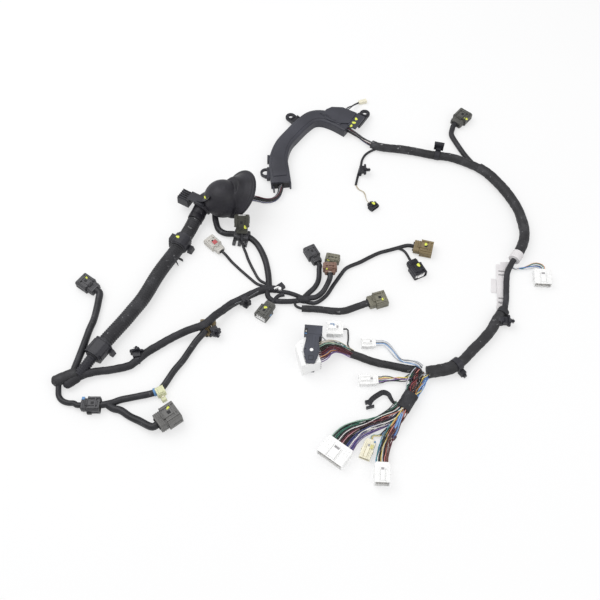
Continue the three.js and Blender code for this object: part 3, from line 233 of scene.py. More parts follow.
main_bundle_route = [
    (0.153, -0.175, 0.009), (0.149, -0.181, 0.0075), (0.1455, -0.19, 0.0066), (0.141, -0.2, 0.0068),
    (0.136, -0.209, 0.0085),
]
left_bundle_route = [
    (0.122, -0.225, 0.009), (0.112, -0.235, 0.0065), (0.101, -0.242, 0.006), (0.087, -0.248, 0.006),
    (0.074, -0.253, 0.006), (0.061, -0.259, 0.006), (0.05, -0.267, 0.0065),
]
right_bundle_route = [
    (0.125, -0.228, 0.009), (0.119, -0.24, 0.0065), (0.111, -0.252, 0.006), (0.104, -0.264, 0.006),
    (0.098, -0.278, 0.0065), (0.0945, -0.292, 0.0075),
]
yellow_lead_route = [(0.108, -0.256, 0.006), (0.099, -0.261, 0.0035), (0.09, -0.265, 0.0032)]
lower_lead_route = [(-0.043, -0.052, 0.005)]
sleeve_lead_route = [
    (0, -0.074, 0.0054), (-0.012, -0.0725, 0.005), (-0.019, -0.068, 0.0048), (-0.019, -0.06, 0.005),
]
single_wire_route = [
    (0.06, -0.143, 0.009), (0.056, -0.136, 0.004), (0.054, -0.129, 0.0018), (0.055, -0.121, 0.0018),
    (0.055, -0.112, 0.0024),
]
strap_route = [
    (0.124, -0.22, 0.004), (0.113, -0.219, 0.003), (0.109, -0.213, 0.003), (0.106, -0.207, 0.003),
    (0.099, -0.2045, 0.003), (0.092, -0.208, 0.003), (0.083, -0.215, 0.003), (0.079, -0.222, 0.003),
]
stub_route = [
    (0.058, 0.293, 0.012), (0.064, 0.302, 0.012), (0.072, 0.313, 0.009), (0.079, 0.321, 0.0054),
    (0.0855, 0.327, 0.0034),
]
cover_run_points = [
    (-0.0465, 0.192, 0), (-0.045, 0.208, 0), (-0.038, 0.23, 0), (-0.024, 0.251, 0), (-0.007, 0.273, 0),
    (0.008, 0.286, 0), (0.024, 0.2875, 0), (0.043, 0.28, 0), (0.066, 0.264, 0),
]
tape_route = [(0.1365, -0.2085, 0.0088), (0.13, -0.219, 0.0088), (0.123, -0.23, 0.0088)]
label_route = [
    (0.295, 0, 0.006), (0.303, -0.003, 0.003), (0.313, -0.003, 0.0024), (0.324, -0.001, 0.0024),
    (0.335, 0.002, 0.003),
]

# Where each plug sits: the middle of its back face, its heading and pitch in degrees, and its size
plugs = {
    "left_sensor_plug": ((-0.306, -0.0438, 0), 144, 0, (0.030, 0.022, 0.016)),
    "upright_plug": ((-0.099, 0.055, 0.0126), 88, 48, (0.027, 0.022, 0.013)),
    "grey_white_plug": ((-0.129, 0.0255, 0), 134, 0, (0.030, 0.018, 0.013)),
    "lower_plug": ((-0.0534, -0.0664, 0), -124, 0, (0.028, 0.020, 0.015)),
    "tucked_plug": ((-0.1425, -0.117, 0), 90, 0, (0.025, 0.022, 0.0094)),
    "inline_plug": ((-0.303, -0.223, 0), 0, 0, (0.025, 0.021, 0.015)),
    "large_grey_plug": ((-0.199, -0.252, 0), 37, 0, (0.031, 0.027, 0.024)),
    "cluster_top_plug": ((0.0135, 0.004, 0), 117, 0, (0.029, 0.019, 0.015)),
    "cluster_middle_plug": ((0.033, -0.001, 0), 78, 0, (0.018, 0.021, 0.014)),
    "cluster_bottom_plug": ((0.031, -0.0205, 0.0089), 90, 0, (0.016, 0.020, 0.014)),
    "brown_plug": ((0.157, 0.0335, 0), -14, 0, (0.028, 0.025, 0.014)),
    "black_plug": ((0.1512, 0.006, 0), -64, 0, (0.028, 0.021, 0.015)),
    "sleeve_plug": ((0.085, -0.065, 0), 18, 0, (0.027, 0.023, 0.015)),
    "thin_lead_plug": ((0.095, 0.116, 0), -50, 0, (0.013, 0.016, 0.009)),
    "corner_plug": ((0.242, 0.2765, 0), 50, 0, (0.031, 0.024, 0.015)),
    "label_white_plug": ((0.341, -0.009, 0), -94, 0, (0.026, 0.025, 0.013)),
    "single_wire_white_plug": ((0.048, -0.107, 0), 178, 0, (0.023, 0.022, 0.012)),
    "upper_small_white_plug": ((0.093, -0.128, 0), 180, 0, (0.020, 0.015, 0.009)),
    "lower_small_white_plug": ((0.0935, -0.185, 0), 182, 0, (0.026, 0.015, 0.010)),
    "wide_white_plug": ((0.041, -0.278, 0), -127, 0, (0.027, 0.039, 0.015)),
    "end_white_plug": ((0.0925, -0.305, 0), -93, 0, (0.027, 0.020, 0.018)),
    "yellowed_white_plug": ((0.0805, -0.271, 0), -112, 0, (0.028, 0.015, 0.009)),
}
lever_pin = Vector((0.0031, -0.1517, 0))
lever_mating = 196
lever_rest = 85
lever_height = (0.0034, 0.026)


def seat(at, heading, pitch=0):
    """The place of a piece: its own X points along the heading, tipped up by the pitch."""
    turn = Matrix.Rotation(math.radians(heading), 4, "Z")
    return Matrix.Translation(at) @ turn @ Matrix.Rotation(-math.radians(pitch), 4, "Y")


# Materials
def graph(name, roughness, gloss=0.5):
    """A new material, with its node tree and its shader."""
    made = bpy.data.materials.new(name)
    made.use_nodes = True
    shader = made.node_tree.nodes["Principled BSDF"]
    shader.inputs["Roughness"].default_value = roughness
    shader.inputs["Specular IOR Level"].default_value = gloss
    return made, made.node_tree, shader


def mottled(tree, colour, spread, scale, place, detail=4):
    """A colour that varies a little, lighter and darker, over a noise of the given scale."""
    cloud = field_of(tree, place, scale, detail)
    ramp = tree.nodes.new("ShaderNodeValToRGB")
    ramp.color_ramp.elements[0].position = 0.3
    ramp.color_ramp.elements[1].position = 0.72
    ramp.color_ramp.elements[0].color = [c * (1 - spread) for c in colour] + [1]
    ramp.color_ramp.elements[1].color = [min(1, c * (1 + spread)) for c in colour] + [1]
    tree.links.new(cloud, ramp.inputs["Fac"])
    return ramp.outputs["Color"], cloud


def bumped(tree, shader, height, strength, distance):
    """Turns a height into small relief in the shader."""
    bump = tree.nodes.new("ShaderNodeBump")
    bump.inputs["Strength"].default_value = strength
    bump.inputs["Distance"].default_value = distance
    tree.links.new(height, bump.inputs["Height"])
    tree.links.new(bump.outputs["Normal"], shader.inputs["Normal"])


def field_of(tree, place, scale, detail=2):
    """A noise over the given place, at the given scale."""
    field = tree.nodes.new("ShaderNodeTexNoise")
    field.inputs["Scale"].default_value = scale
    field.inputs["Detail"].default_value = detail
    tree.links.new(place, field.inputs["Vector"])
    return field.outputs["Fac"]


def spread_over(tree, value, low=(0, 1), high=(0, 1)):
    """A value between the two of low turned into one between the two of high."""
    spread = tree.nodes.new("ShaderNodeMapRange")
    for socket, limit in zip(("From Min", "From Max", "To Min", "To Max"), low + high):
        spread.inputs[socket].default_value = limit
    tree.links.new(value, spread.inputs["Value"])
    return spread.outputs["Result"]


def mixed(tree, share, first, second):
    """Two colours mixed; the second is a socket or a plain colour."""
    mix = tree.nodes.new("ShaderNodeMix")
    mix.data_type = "RGBA"
    tree.links.new(share, mix.inputs["Factor"])
    tree.links.new(first, mix.inputs["A"])
    if isinstance(second, tuple):
        mix.inputs["B"].default_value = second
    else:
        tree.links.new(second, mix.inputs["B"])
    return mix.outputs["Result"]


def maths(tree, operation, *values):
    """One sum over sockets and plain numbers."""
    made = tree.nodes.new("ShaderNodeMath")
    made.operation = operation
    for socket, value in zip(made.inputs, values):
        if isinstance(value, (int, float)):
            socket.default_value = value
        else:
            tree.links.new(value, socket)
    return made.outputs["Value"]


def plastic(name, colour, roughness=0.45, spread=0.12, grain=900, bump=0.25, patch=45, gloss=0.5):
    """Moulded plastic: slow mottling in its colour, a fine moulded grain and rubbed patches."""
    made, tree, shader = graph(name, roughness, gloss)
    place = tree.nodes.new("ShaderNodeTexCoord").outputs["Object"]
    tint, cloud = mottled(tree, colour, spread, patch, place)
    tree.links.new(tint, shader.inputs["Base Color"])
    bumped(tree, shader, field_of(tree, place, grain), bump, 0.0002)
    rubbed = spread_over(tree, cloud, high=(roughness - 0.08, roughness + 0.12))
    tree.links.new(rubbed, shader.inputs["Roughness"])
    return made


scuff_grey = (0.42, 0.42, 0.43, 1)


def taped(name, colour, roughness=0.55, pitch=0.011, dust=0.5, scuffs=0.0):
    """Wound tape: a slanted edge once in each turn, fine weave, dusty patches and pale scuffs."""
    made, tree, shader = graph(name, roughness, 0.35)
    uv = tree.nodes.new("ShaderNodeUVMap").outputs["UV"]
    place = tree.nodes.new("ShaderNodeTexCoord").outputs["Object"]
    tint, cloud = mottled(tree, colour, 0.3, 60, place, 6)
    dusty, _ = mottled(tree, [c * 2.2 + 0.02 for c in colour], 0.2, 300, place)
    dusted = mixed(tree, spread_over(tree, cloud, (0.55, 0.85), (0, dust)), tint, dusty)
    spots = field_of(tree, place, 170, 5)
    worn = mixed(tree, spread_over(tree, spots, (0.66, 0.74), (0, scuffs)), dusted, scuff_grey)
    tree.links.new(worn, shader.inputs["Base Color"])
    parts = tree.nodes.new("ShaderNodeSeparateXYZ")
    tree.links.new(uv, parts.inputs["Vector"])
    turns = maths(tree, "MULTIPLY_ADD", parts.outputs["Y"], 1 / pitch, parts.outputs["X"])
    edge = maths(tree, "FRACT", turns)
    weave = field_of(tree, place, 1400)
    height = maths(tree, "MULTIPLY_ADD", weave, 0.35, edge)
    bumped(tree, shader, height, 0.5, 0.0005)
    return made


def painted(name, colour):
    """A soft blob of marking paint."""
    return plastic(name, colour, roughness=0.5, spread=0.12, grain=500, bump=0.4, patch=300)


tape = taped("cloth_tape", (0.03, 0.03, 0.035), 0.6, scuffs=0.2)
dusty_tape = taped("dusty_tape", (0.031, 0.031, 0.034), 0.58, dust=0.75, scuffs=0.6)
jacket = taped("cable_jacket", (0.024, 0.024, 0.028), 0.4, pitch=0.05, dust=0.35, scuffs=0.15)
conduit_plastic = taped("conduit_plastic", (0.03, 0.03, 0.034), 0.5, 0.5, 0.6, 0.7)
dark_tape = taped("dark_tape", (0.011, 0.010, 0.015), 0.45, dust=0.25, scuffs=0.3)
rubber = plastic("rubber", (0.02, 0.019, 0.025), 0.5, 0.35, 500, 0.3, gloss=0.38)
black_plastic = plastic("black_plastic", (0.024, 0.024, 0.031), 0.4, 0.25, gloss=0.4)
cover_plastic = plastic("cover_plastic", (0.046, 0.047, 0.06), 0.4, 0.2, 1200, 0.3, 25, 0.4)
lever_plastic = plastic("lever_plastic", (0.06, 0.064, 0.084), 0.45, 0.25, gloss=0.4)
dark_grey = plastic("dark_grey_plastic", (0.056, 0.056, 0.062), 0.42, 0.25)
smoke_grey = plastic("smoke_grey_plastic", (0.1, 0.1, 0.092), 0.42, 0.25)
mid_grey = plastic("grey_plastic", (0.14, 0.138, 0.134), 0.45, 0.15)
olive_black = plastic("olive_plastic", (0.06, 0.06, 0.048), 0.35, 0.35)
tan_grey = plastic("tan_plastic", (0.2, 0.19, 0.145), 0.45, 0.2)
brown = plastic("brown_plastic", (0.25, 0.19, 0.1), 0.45, 0.18)
red_brown = plastic("red_brown_plastic", (0.24, 0.14, 0.105), 0.45, 0.18)
pale_grey = plastic("pale_grey_plastic", (0.62, 0.6, 0.56), 0.4, 0.12)
white_plastic = plastic("white_plastic", (0.95, 0.95, 0.945), 0.38, 0.02, 900, 0.12)
cream_plastic = plastic("cream_plastic", (0.86, 0.82, 0.66), 0.4, 0.06)
yellow_plastic = plastic("yellow_plastic", (0.62, 0.58, 0.25), 0.4, 0.2)
pale_yellow_plastic = plastic("pale_yellow_plastic", (0.66, 0.67, 0.42), 0.35, 0.2)
blue_plastic = plastic("blue_plastic", (0.11, 0.26, 0.5), 0.4, 0.15)
# Near-black: the wire seals' own rubber, and painted shade in holes, slots, grooves and open mouths
seal_rubber_and_painted_hole_shade = plastic("seal_rubber_and_painted_hole_shade", (0.012, 0.012, 0.014), 0.6, 0.2)
metal = plastic("terminal_metal", (0.5, 0.48, 0.44), 0.3, 0.2)
paper = plastic("label_paper", (0.78, 0.76, 0.77), 0.6, 0.06, 700, 0.15)
# Grey: the label's real print, and painted shade in the cells and windows of the white plugs and the lever
# housing
grey_print_and_painted_cell_shade = plastic("grey_print_and_painted_cell_shade", (0.36, 0.35, 0.36), 0.6, 0.2)
red_mark = plastic("red_mark", (0.55, 0.1, 0.11), 0.5, 0.2)
yellow_paint = painted("yellow_paint", (0.8, 0.86, 0.11))
wire_colours = {
    "black": (0.02, 0.02, 0.022), "grey": (0.3, 0.31, 0.33), "pale": (0.6, 0.62, 0.66),
    "white": (0.8, 0.79, 0.77), "red": (0.26, 0.04, 0.045), "maroon": (0.12, 0.025, 0.04),
    "salmon": (0.52, 0.2, 0.17), "pink": (0.6, 0.32, 0.34), "orange": (0.6, 0.27, 0.1),
    "yellow": (0.72, 0.57, 0.16), "green": (0.04, 0.16, 0.11), "teal": (0.06, 0.26, 0.27),
    "mint": (0.3, 0.46, 0.36), "blue": (0.1, 0.21, 0.5), "sky": (0.25, 0.42, 0.7),
    "navy": (0.05, 0.06, 0.2), "purple": (0.22, 0.13, 0.35), "brown": (0.17, 0.08, 0.06),
    "beige": (0.5, 0.44, 0.33),
}
wire_materials = {
    name: plastic("wire_" + name, colour, 0.35, 0.18, 1500, 0.1, 120)
    for name, colour in wire_colours.items()
}


# Mesh tools
def finished(name, mesh, materials, replaces=(), body=harness):
    """The object of a mesh, on its body, with what it replaces."""
    for face_material in materials:
        mesh.materials.append(face_material)
    piece = bpy.data.objects.new(name, mesh)
    scene.collection.objects.link(piece)
    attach(piece, body)
    if replaces:
        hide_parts(*replaces)
    return piece


def smooth(route, step=0.0025):
    """Points a step apart on the centripetal Catmull-Rom line through a route."""
    knots = [Vector(p) for p in route]
    knots = [2 * knots[0] - knots[1]] + knots + [2 * knots[-1] - knots[-2]]
    fine = []
    for p0, p1, p2, p3 in zip(knots, knots[1:], knots[2:], knots[3:]):
        d0, d1, d2 = [max((b - a).length ** 0.5, 1e-5) for a, b in ((p0, p1), (p1, p2), (p2, p3))]
        m1 = ((p1 - p0) / d0 - (p2 - p0) / (d0 + d1) + (p2 - p1) / d1) * d1
        m2 = ((p2 - p1) / d1 - (p3 - p1) / (d1 + d2) + (p3 - p2) / d2) * d1
        for k in range(12):
            t = k / 12
            a = (2 * t - 3) * t * t + 1
            b = ((t - 2) * t + 1) * t
            fine.append(p1 * a + m1 * b + p2 * (1 - a) + m2 * (t - 1) * t * t)
    fine.append(knots[-2])
    return even(fine, step)


def even(line, step):
    """The same line with its points a step apart."""
    total = sum((b - a).length for a, b in zip(line, line[1:]))
    count = max(2, round(total / step))
    spacing = total / count
    made, wanted, walked = [line[0].copy()], spacing, 0.0
    for a, b in zip(line, line[1:]):
        length = (b - a).length
        while wanted <= walked + length + 1e-9 and len(made) < count:
            made.append(a.lerp(b, (wanted - walked) / length))
            wanted += spacing
        walked += length
    made.append(line[-1].copy())
    return made


def rings(line):
    """For each point of a line: the point, its side and up directions, and the length so far."""
    made, along = [], 0.0
    for i, p in enumerate(line):
        heading = (line[min(i + 1, len(line) - 1)] - line[max(i - 1, 0)]).normalized()
        side = heading.cross(up_axis)
        side = side.normalized() if side.length > 1e-4 else Vector((0, 1, 0))
        made.append((p, side, side.cross(heading), along))
        if i + 1 < len(line):
            along += (line[i + 1] - p).length
    return made


class Build:
    """Collects faces, each with a material, and turns them into one mesh."""

    def __init__(self):
        self.points, self.faces, self.slots, self.uvs, self.materials = [], [], [], [], []

    def slot(self, face_material):
        if face_material not in self.materials:
            self.materials.append(face_material)
        return self.materials.index(face_material)

    def face(self, corners, face_material, uv=None):
        self.faces.append(corners)
        self.slots.append(self.slot(face_material))
        self.uvs.append(uv or [(0, 0)] * len(corners))

    def tube(self, line, radius, face_material, sides=12, flat=1.0, closed=True):
        """A tube round a line. radius is a length, or a function of the length so far and the angle."""
        first = len(self.points)
        steps = rings(line)
        for p, side, up, along in steps:
            for k in range(sides):
                angle = full_turn * k / sides
                r = radius(along, angle) if callable(radius) else radius
                self.points.append(p + side * (r * math.cos(angle)) + up * (r * flat * math.sin(angle)))
        for i in range(len(steps) - 1):
            v0, v1 = steps[i][3], steps[i + 1][3]
            for k in range(sides):
                a, b = first + i * sides + k, first + i * sides + (k + 1) % sides
                u0, u1 = k / sides, (k + 1) / sides
                uv = [(u0, v0), (u1, v0), (u1, v1), (u0, v1)]
                self.face([a, b, b + sides, a + sides], face_material, uv)
        if closed:
            last = first + (len(steps) - 1) * sides
            self.face([first + k for k in reversed(range(sides))], face_material)
            self.face([last + k for k in range(sides)], face_material)

    def box(self, low, high, face_material, place=Matrix(), taper=0.0):
        """A block from its lowest to its highest corner, its top drawn in by the taper."""
        first = len(self.points)
        for z, draw in ((low[2], 0), (high[2], taper)):
            for x, y in ((low[0] + draw, low[1] + draw), (high[0] - draw, low[1] + draw),
                         (high[0] - draw, high[1] - draw), (low[0] + draw, high[1] - draw)):
                self.points.append(place @ Vector((x, y, z)))
        for corners in ((3, 2, 1, 0), (4, 5, 6, 7), (0, 1, 5, 4), (1, 2, 6, 5), (2, 3, 7, 6), (3, 0, 4, 7)):
            self.face([first + c for c in corners], face_material)

    def loft(self, loops, face_material, place=Matrix(), capped=True):
        """A skin over loops that have as many points each."""
        first, count = len(self.points), len(loops[0])
        for loop in loops:
            self.points.extend(place @ Vector(p) for p in loop)
        for i in range(len(loops) - 1):
            for k in range(count):
                a, b = first + i * count + k, first + i * count + (k + 1) % count
                self.face([a, b, b + count, a + count], face_material)
        if capped:
            last = first + (len(loops) - 1) * count
            self.face([first + k for k in reversed(range(count))], face_material)
            self.face([last + k for k in range(count)], face_material)

    def drum(self, x0, x1, radius, face_material, place=Matrix(), sides=20, dome=0.0):
        """A round bar along the local X axis, its end slightly domed if asked."""
        sizes = [(x0, radius), (x1, radius)]
        if dome:
            sizes += [(x1 + dome * 0.7, radius * 0.75), (x1 + dome, radius * 0.35)]
        loops = [[(x, r * math.cos(full_turn * k / sides), r * math.sin(full_turn * k / sides))
                  for k in range(sides)] for x, r in sizes]
        self.loft(loops, face_material, place)

    def bar(self, x0, x1, outline, face_material, place):
        """A straight bar of one outline, points (y, z), from x0 to x1."""
        self.loft([at_x(x0, outline), at_x(x1, outline)], face_material, place)

    def stand_in(self, node, bevel, body=harness):
        """The piece that replaces a node of the construction."""
        return self.piece(node + "_body", [node], slot_of[node], bevel, body=body)

    def piece(self, name, replaces=(), slot=None, bevel=0.0, smooth_below=40, body=harness):
        mesh = bpy.data.meshes.new(name)
        mesh.from_pydata([tuple(p) for p in self.points], [], self.faces)
        mesh.polygons.foreach_set("material_index", self.slots)
        layer = mesh.uv_layers.new(name="along")
        layer.data.foreach_set("uv", [c for face in self.uvs for corner in face for c in corner])
        mesh.validate()
        mesh.shade_smooth()
        made = finished(name, mesh, self.materials, replaces, body)
        if bevel:
            edge = made.modifiers.new("edges", "BEVEL")
            edge.width = bevel
            edge.segments = 2
            edge.limit_method = "ANGLE"
            edge.angle_limit = math.radians(35)
            edge.harden_normals = True
        mesh.set_sharp_from_angle(angle=math.radians(smooth_below))
        return made


# Cables
sealed_latch_rise = 0.0018
white_latch_rise = 0.0016
straight_before_plug = 0.0063


def plug_place(plug):
    """The place of a plug, from the middle of its back face."""
    at, heading, pitch, _ = plugs[plug]
    return seat(at, heading, pitch)


def into(route, plug, depth=0.001):
    """A route that goes on into the back of a plug."""
    rise = sealed_latch_rise if plug in sealed_looks else white_latch_rise
    middle = (plugs[plug][3][2] - rise) / 2
    ends = [Vector((x, 0, middle)) for x in (-straight_before_plug, depth)]
    return [Vector(p) for p in route] + [plug_place(plug) @ p for p in ends]


def wound(radius, seed, turn=0.011, lump=0.05, step=0.045):
    """The radius of a taped cable: it swells slowly, is uneven, and steps at each turn of the tape."""
    def at(along, angle):
        slow = noise.noise(Vector((along * 45, seed, 0.5)))
        knuckle = noise.noise(Vector((along * 190, 1.3 * math.cos(angle), seed + 1.3 * math.sin(angle))))
        turned = (along / turn + angle / full_turn) % 1
        return radius * (0.965 + lump * slow + 0.045 * knuckle + step * (turned - 0.5))
    return at


def sheathed(radius, seed):
    """The radius of a plain sheath: almost even, with slow dents where the wires lie inside."""
    def at(along, angle):
        dent = noise.noise(Vector((along * 60, 0.9 * math.cos(angle), seed + 0.9 * math.sin(angle))))
        return radius * (0.975 + 0.06 * dent)
    return at


def ribbed(radius, seed, pitch=0.0032, depth=0.1):
    """The radius of a corrugated tube, whose rings start where the seed says."""
    def at(along, angle):
        wave = math.cos(full_turn * (along / pitch + seed))
        return radius * (1 - depth * (0.5 - 0.5 * max(-1, min(1, 1.6 * wave))))
    return at


def fine_ribs(radius, seed):
    """The shallow rings of the wide conduit."""
    return ribbed(radius, seed, pitch=0.0034, depth=0.075)


def rounded_off(skin, total, length=0.006):
    """The same radius, drawn in to a round end at both ends of a wrapped stretch."""
    def at(along, angle):
        share = min(1, min(along, total - along) / length)
        return skin(along, angle) * max(0.2, math.sqrt(1 - (1 - share) ** 2))
    return at


def cable(name, route, radius, surface, skin=wound, node=None, plug=None, slot=None,
          sides=18, step=0.002, flat=1.0, seed=None, blunt=True):
    """One cable as a tube along its route, and on into its plug if it has one. Unless it is blunt, its ends
    are rounded off."""
    line = smooth(into(route, plug) if plug else route, step)
    build = Build()
    size = skin(radius, seed or len(name) * 1.7 + route[0][0] * 50)
    if not blunt:
        size = rounded_off(size, sum((b - a).length for a, b in zip(line, line[1:])))
    build.tube(line, size, surface, sides, flat)
    slot = slot or ("cloth_tape" if surface in tapes else "cable_jacket")
    made = build.piece(name, [node] if node else [], slot, smooth_below=80)
    return made


tapes = (tape, dusty_tape, dark_tape)


def bundle(name, route, start, end, colours, node=None, rows=2, plug=None, seed=1, sway=0.0011,
           settle=0.4, radius=wire_radius, slot="coloured_wires", lift=0.0, crowd=1.0):
    """Loose wires, listed from the left of the run to its right: an oval bunch of start width and
    height that ends as rows of end width and spacing."""
    line = smooth(into(route, plug, 0.0005) if plug else route, 0.003)
    steps = rings(line)
    total = steps[-1][3]
    chance = random.Random(seed)
    build = Build()
    count = round(len(colours) * crowd)
    for i in range(count):
        near = i / crowd + chance.uniform(-1.2, 1.2) * (crowd > 1)
        colour = colours[min(len(colours) - 1, max(0, int(near)))]
        across = 2 * (i + 0.5) / count - 1
        room = math.sqrt(max(0.15, 1 - across * across))
        first = (across * start[0] / 2, chance.uniform(-room, room) * start[1] / 2)
        last = (across * end[0] / 2, (i % rows - (rows - 1) / 2) * end[1])
        phase, wander = chance.uniform(0, full_turn), chance.uniform(0.5, 1.6) * sway
        cycles = chance.uniform(0.6, 1.8)
        run = []
        for p, side, up, along in steps:
            part = along / total
            fan = min(1, max(0, (part - settle) / (1 - settle)))
            fan = fan * fan * (3 - 2 * fan)
            swing = wander * (1 - fan)
            x = first[0] + (last[0] - first[0]) * fan + swing * math.sin(phase + cycles * full_turn * part)
            y = first[1] + (last[1] - first[1]) * fan + swing * math.cos(phase + cycles * full_turn * part)
            placed = p + side * x + up * y + up_axis * lift * math.sin(math.pi * part)
            placed.z = max(placed.z, radius * 1.05)
            run.append(placed)
        build.tube(run, radius * chance.uniform(0.85, 1.1), wire_materials[colour], 8)
    return build.piece(name, [node] if node else [], slot, smooth_below=80)


def strand(name, route, radius, colour, plug=None, node=None, slot="coloured_wires"):
    """A single loose wire."""
    return cable(name, route, radius, wire_materials[colour], sheathed, node, plug, slot, 8, 0.003)


sealed_looks = {
    "left_sensor_plug": (dark_grey, black_plastic, 2),
    "upright_plug": (olive_black, white_plastic, 2),
    "grey_white_plug": (pale_grey, cream_plastic, 2),
    "lower_plug": (smoke_grey, white_plastic, 3),
    "tucked_plug": (brown, black_plastic, 3),
    "inline_plug": (dark_grey, mid_grey, 3),
    "large_grey_plug": (mid_grey, dark_grey, 4),
    "cluster_top_plug": (dark_grey, black_plastic, 3),
    "cluster_middle_plug": (tan_grey, dark_grey, 3),
    "cluster_bottom_plug": (red_brown, white_plastic, 2),
    "brown_plug": (brown, dark_grey, 4),
    "black_plug": (black_plastic, white_plastic, 2),
    "sleeve_plug": (tan_grey, dark_grey, 3),
    "thin_lead_plug": (black_plastic, mid_grey, 2),
    "corner_plug": (smoke_grey, dark_grey, 3),
}


def make_cables():
    # Left side
    cable("hub_wrap_tape", hub_route, 0.0085, dusty_tape, node="hub_wrap", sides=24, flat=0.95,
          blunt=False)
    lobe = [(-0.331, -0.196, 0.007), (-0.322, -0.19, 0.0075), (-0.31, -0.181, 0.008)]
    cable("hub_lobe", lobe, 0.0064, tape, blunt=False)
    cable("conduit_tube", conduit_route, conduit_radius, conduit_plastic, fine_ribs,
          "corrugated_conduit", sides=32, step=0.0006)
    ribs = [(-0.314, -0.18, 0.009), (-0.306, -0.17, 0.01), (-0.3, -0.16, 0.011), (-0.293, -0.148, 0.011)]
    cable("conduit_ribs", ribs, conduit_thin_radius, black_plastic, ribbed, sides=28,
          step=0.0005)
    cable("sensor_sheath", sensor_route[::-1], sensor_radius, jacket, sheathed, "sensor_cable",
          "left_sensor_plug", sides=20)
    cable("middle_trunk_tape", middle_route, middle_radius, tape, node="middle_trunk")
    cable("loop_short_sheath", loop_short_route, loop_radius, jacket, sheathed, "loop_cable_short",
          "inline_plug")
    front = plug_place("inline_plug") @ Vector((0.0255, 0, 0.0066))
    cable("loop_long_sheath", [front] + loop_long_route, arm_radius, jacket, sheathed,
          "loop_cable_long", sides=20)
    cable("grey_branch_sheath", grey_branch_route, arm_radius + 0.0004, jacket, sheathed,
          plug="large_grey_plug", sides=20)
    # Grommet, drop and centre
    cable("neck_sleeve_tape", neck_sleeve_route, neck_sleeve_radius, dark_tape, node="neck_sleeve",
          sides=28)
    cable("drop_sheath", drop_route, drop_radius, jacket, sheathed, "drop_cables", sides=20)
    cable("thin_near_sheath", thin_near_route[::-1], thin_radius, jacket, sheathed,
          plug="upright_plug", sides=12)
    cable("thin_far_sheath", thin_far_route[::-1], thin_radius, jacket, sheathed,
          plug="grey_white_plug", sides=12)
    cable("link_upper_tape", link_upper_route, link_radius, tape, node="centre_cables")
    cable("link_lower_tape", link_lower_route, link_radius + 0.0006, tape)
    joint = [(-0.018, -0.057, 0.0056), (-0.008, -0.059, 0.006), (0.002, -0.06, 0.0058)]
    cable("branch_joint_tape", joint, 0.0056, tape, blunt=False)
    cable("cluster_left_sheath", cluster_left_route, cluster_radius, jacket, sheathed,
          plug="cluster_top_plug")
    cable("cluster_right_sheath", cluster_right_route, cluster_radius, jacket, sheathed,
          plug="cluster_bottom_plug")
    cable("cluster_middle_sheath", cluster_middle_route, thin_radius, jacket, sheathed,
          plug="cluster_middle_plug", sides=12)
    cable("lower_lead_sheath", [(-0.035, -0.05, 0.005)] + lower_lead_route, lower_lead_radius, jacket,
          sheathed, plug="lower_plug", sides=12)
    cable("side_sheath", side_route, side_radius, jacket, sheathed, "side_cable", "brown_plug",
          sides=14)
    cable("branch_lead_sheath", branch_lead_route, lead_radius, jacket, sheathed, plug="black_plug",
          sides=12)
    cable("sleeve_tape", sleeve_route, sleeve_radius, dusty_tape, node="sleeve_cable",
          plug="sleeve_plug", sides=20)
    cable("sleeve_lead", sleeve_lead_route, lead_radius, jacket, sheathed, sides=12)
    # Right side
    cable("outer_trunk_tape", outer_route, outer_radius, dusty_tape, node="outer_trunk", sides=22)
    cable("outer_bend_tape", outer_bend_route, outer_bend_radius, dusty_tape, sides=26)
    cable("outer_thin_tape", outer_thin_route, outer_thin_radius, tape)
    cable("end_sleeve_tape", end_sleeve_route, end_sleeve_radius, dusty_tape, node="end_sleeve",
          sides=24)
    cable("end_sleeve_thick_tape", end_sleeve_thick_route, end_sleeve_thick_radius, dusty_tape,
          sides=26)
    cable("corner_sheath", corner_route, corner_radius, jacket, sheathed, "corner_cable",
          "corner_plug")
    cable("thin_top_sheath", thin_top_route[:9], lead_radius, jacket, sheathed, "thin_top_cable",
          sides=12)
    for shift in (-0.0006, 0.0006):
        route = [(x + shift, y, 0.0016) for x, y, _ in thin_top_route[8:-1]]
        strand(f"thin_top_wire_{'left' if shift < 0 else 'right'}", route, 0.0006, "beige",
               "thin_lead_plug")
    cable("front_trunk_tape", front_trunk_route, front_radius, dusty_tape, node="front_trunk")
    strand("single_black_wire", single_wire_route, 0.0012, "black", "single_wire_white_plug",
           "single_wire", "cable_jacket")
    cable("bundle_wrap_tape", tape_route, 0.0105, tape, node="bundle_wrap", flat=0.8, sides=26)
    bundle("stub_wires", stub_route, (0.003, 0.002), (0.003, 0.001),
           ["grey", "black", "pale", "black"], "stub_lead", seed=3, radius=small_wire_radius)
    stub = seat((0.0865, 0.3278, 0.0002), 18)
    stub_plug = Build()
    stub_plug.box((-0.001, -0.0029, 0.0004), (0.0035, 0.0029, 0.0052), cream_plastic, stub)
    stub_plug.box((0.0032, -0.003, 0), (0.013, 0.003, 0.0057), cream_plastic, stub)
    # The near-black box on its front is painted shade in its opening
    stub_plug.box((0.0122, -0.0021, 0.001), (0.0131, 0.0021, 0.0046), seal_rubber_and_painted_hole_shade, stub)
    stub_plug.box((0.0045, -0.0009, 0.0055), (0.011, 0.0009, 0.006), cream_plastic, stub)
    stub_plug.piece("stub_plug_body", [], slot_of["stub_lead"], bevel=0.0003)


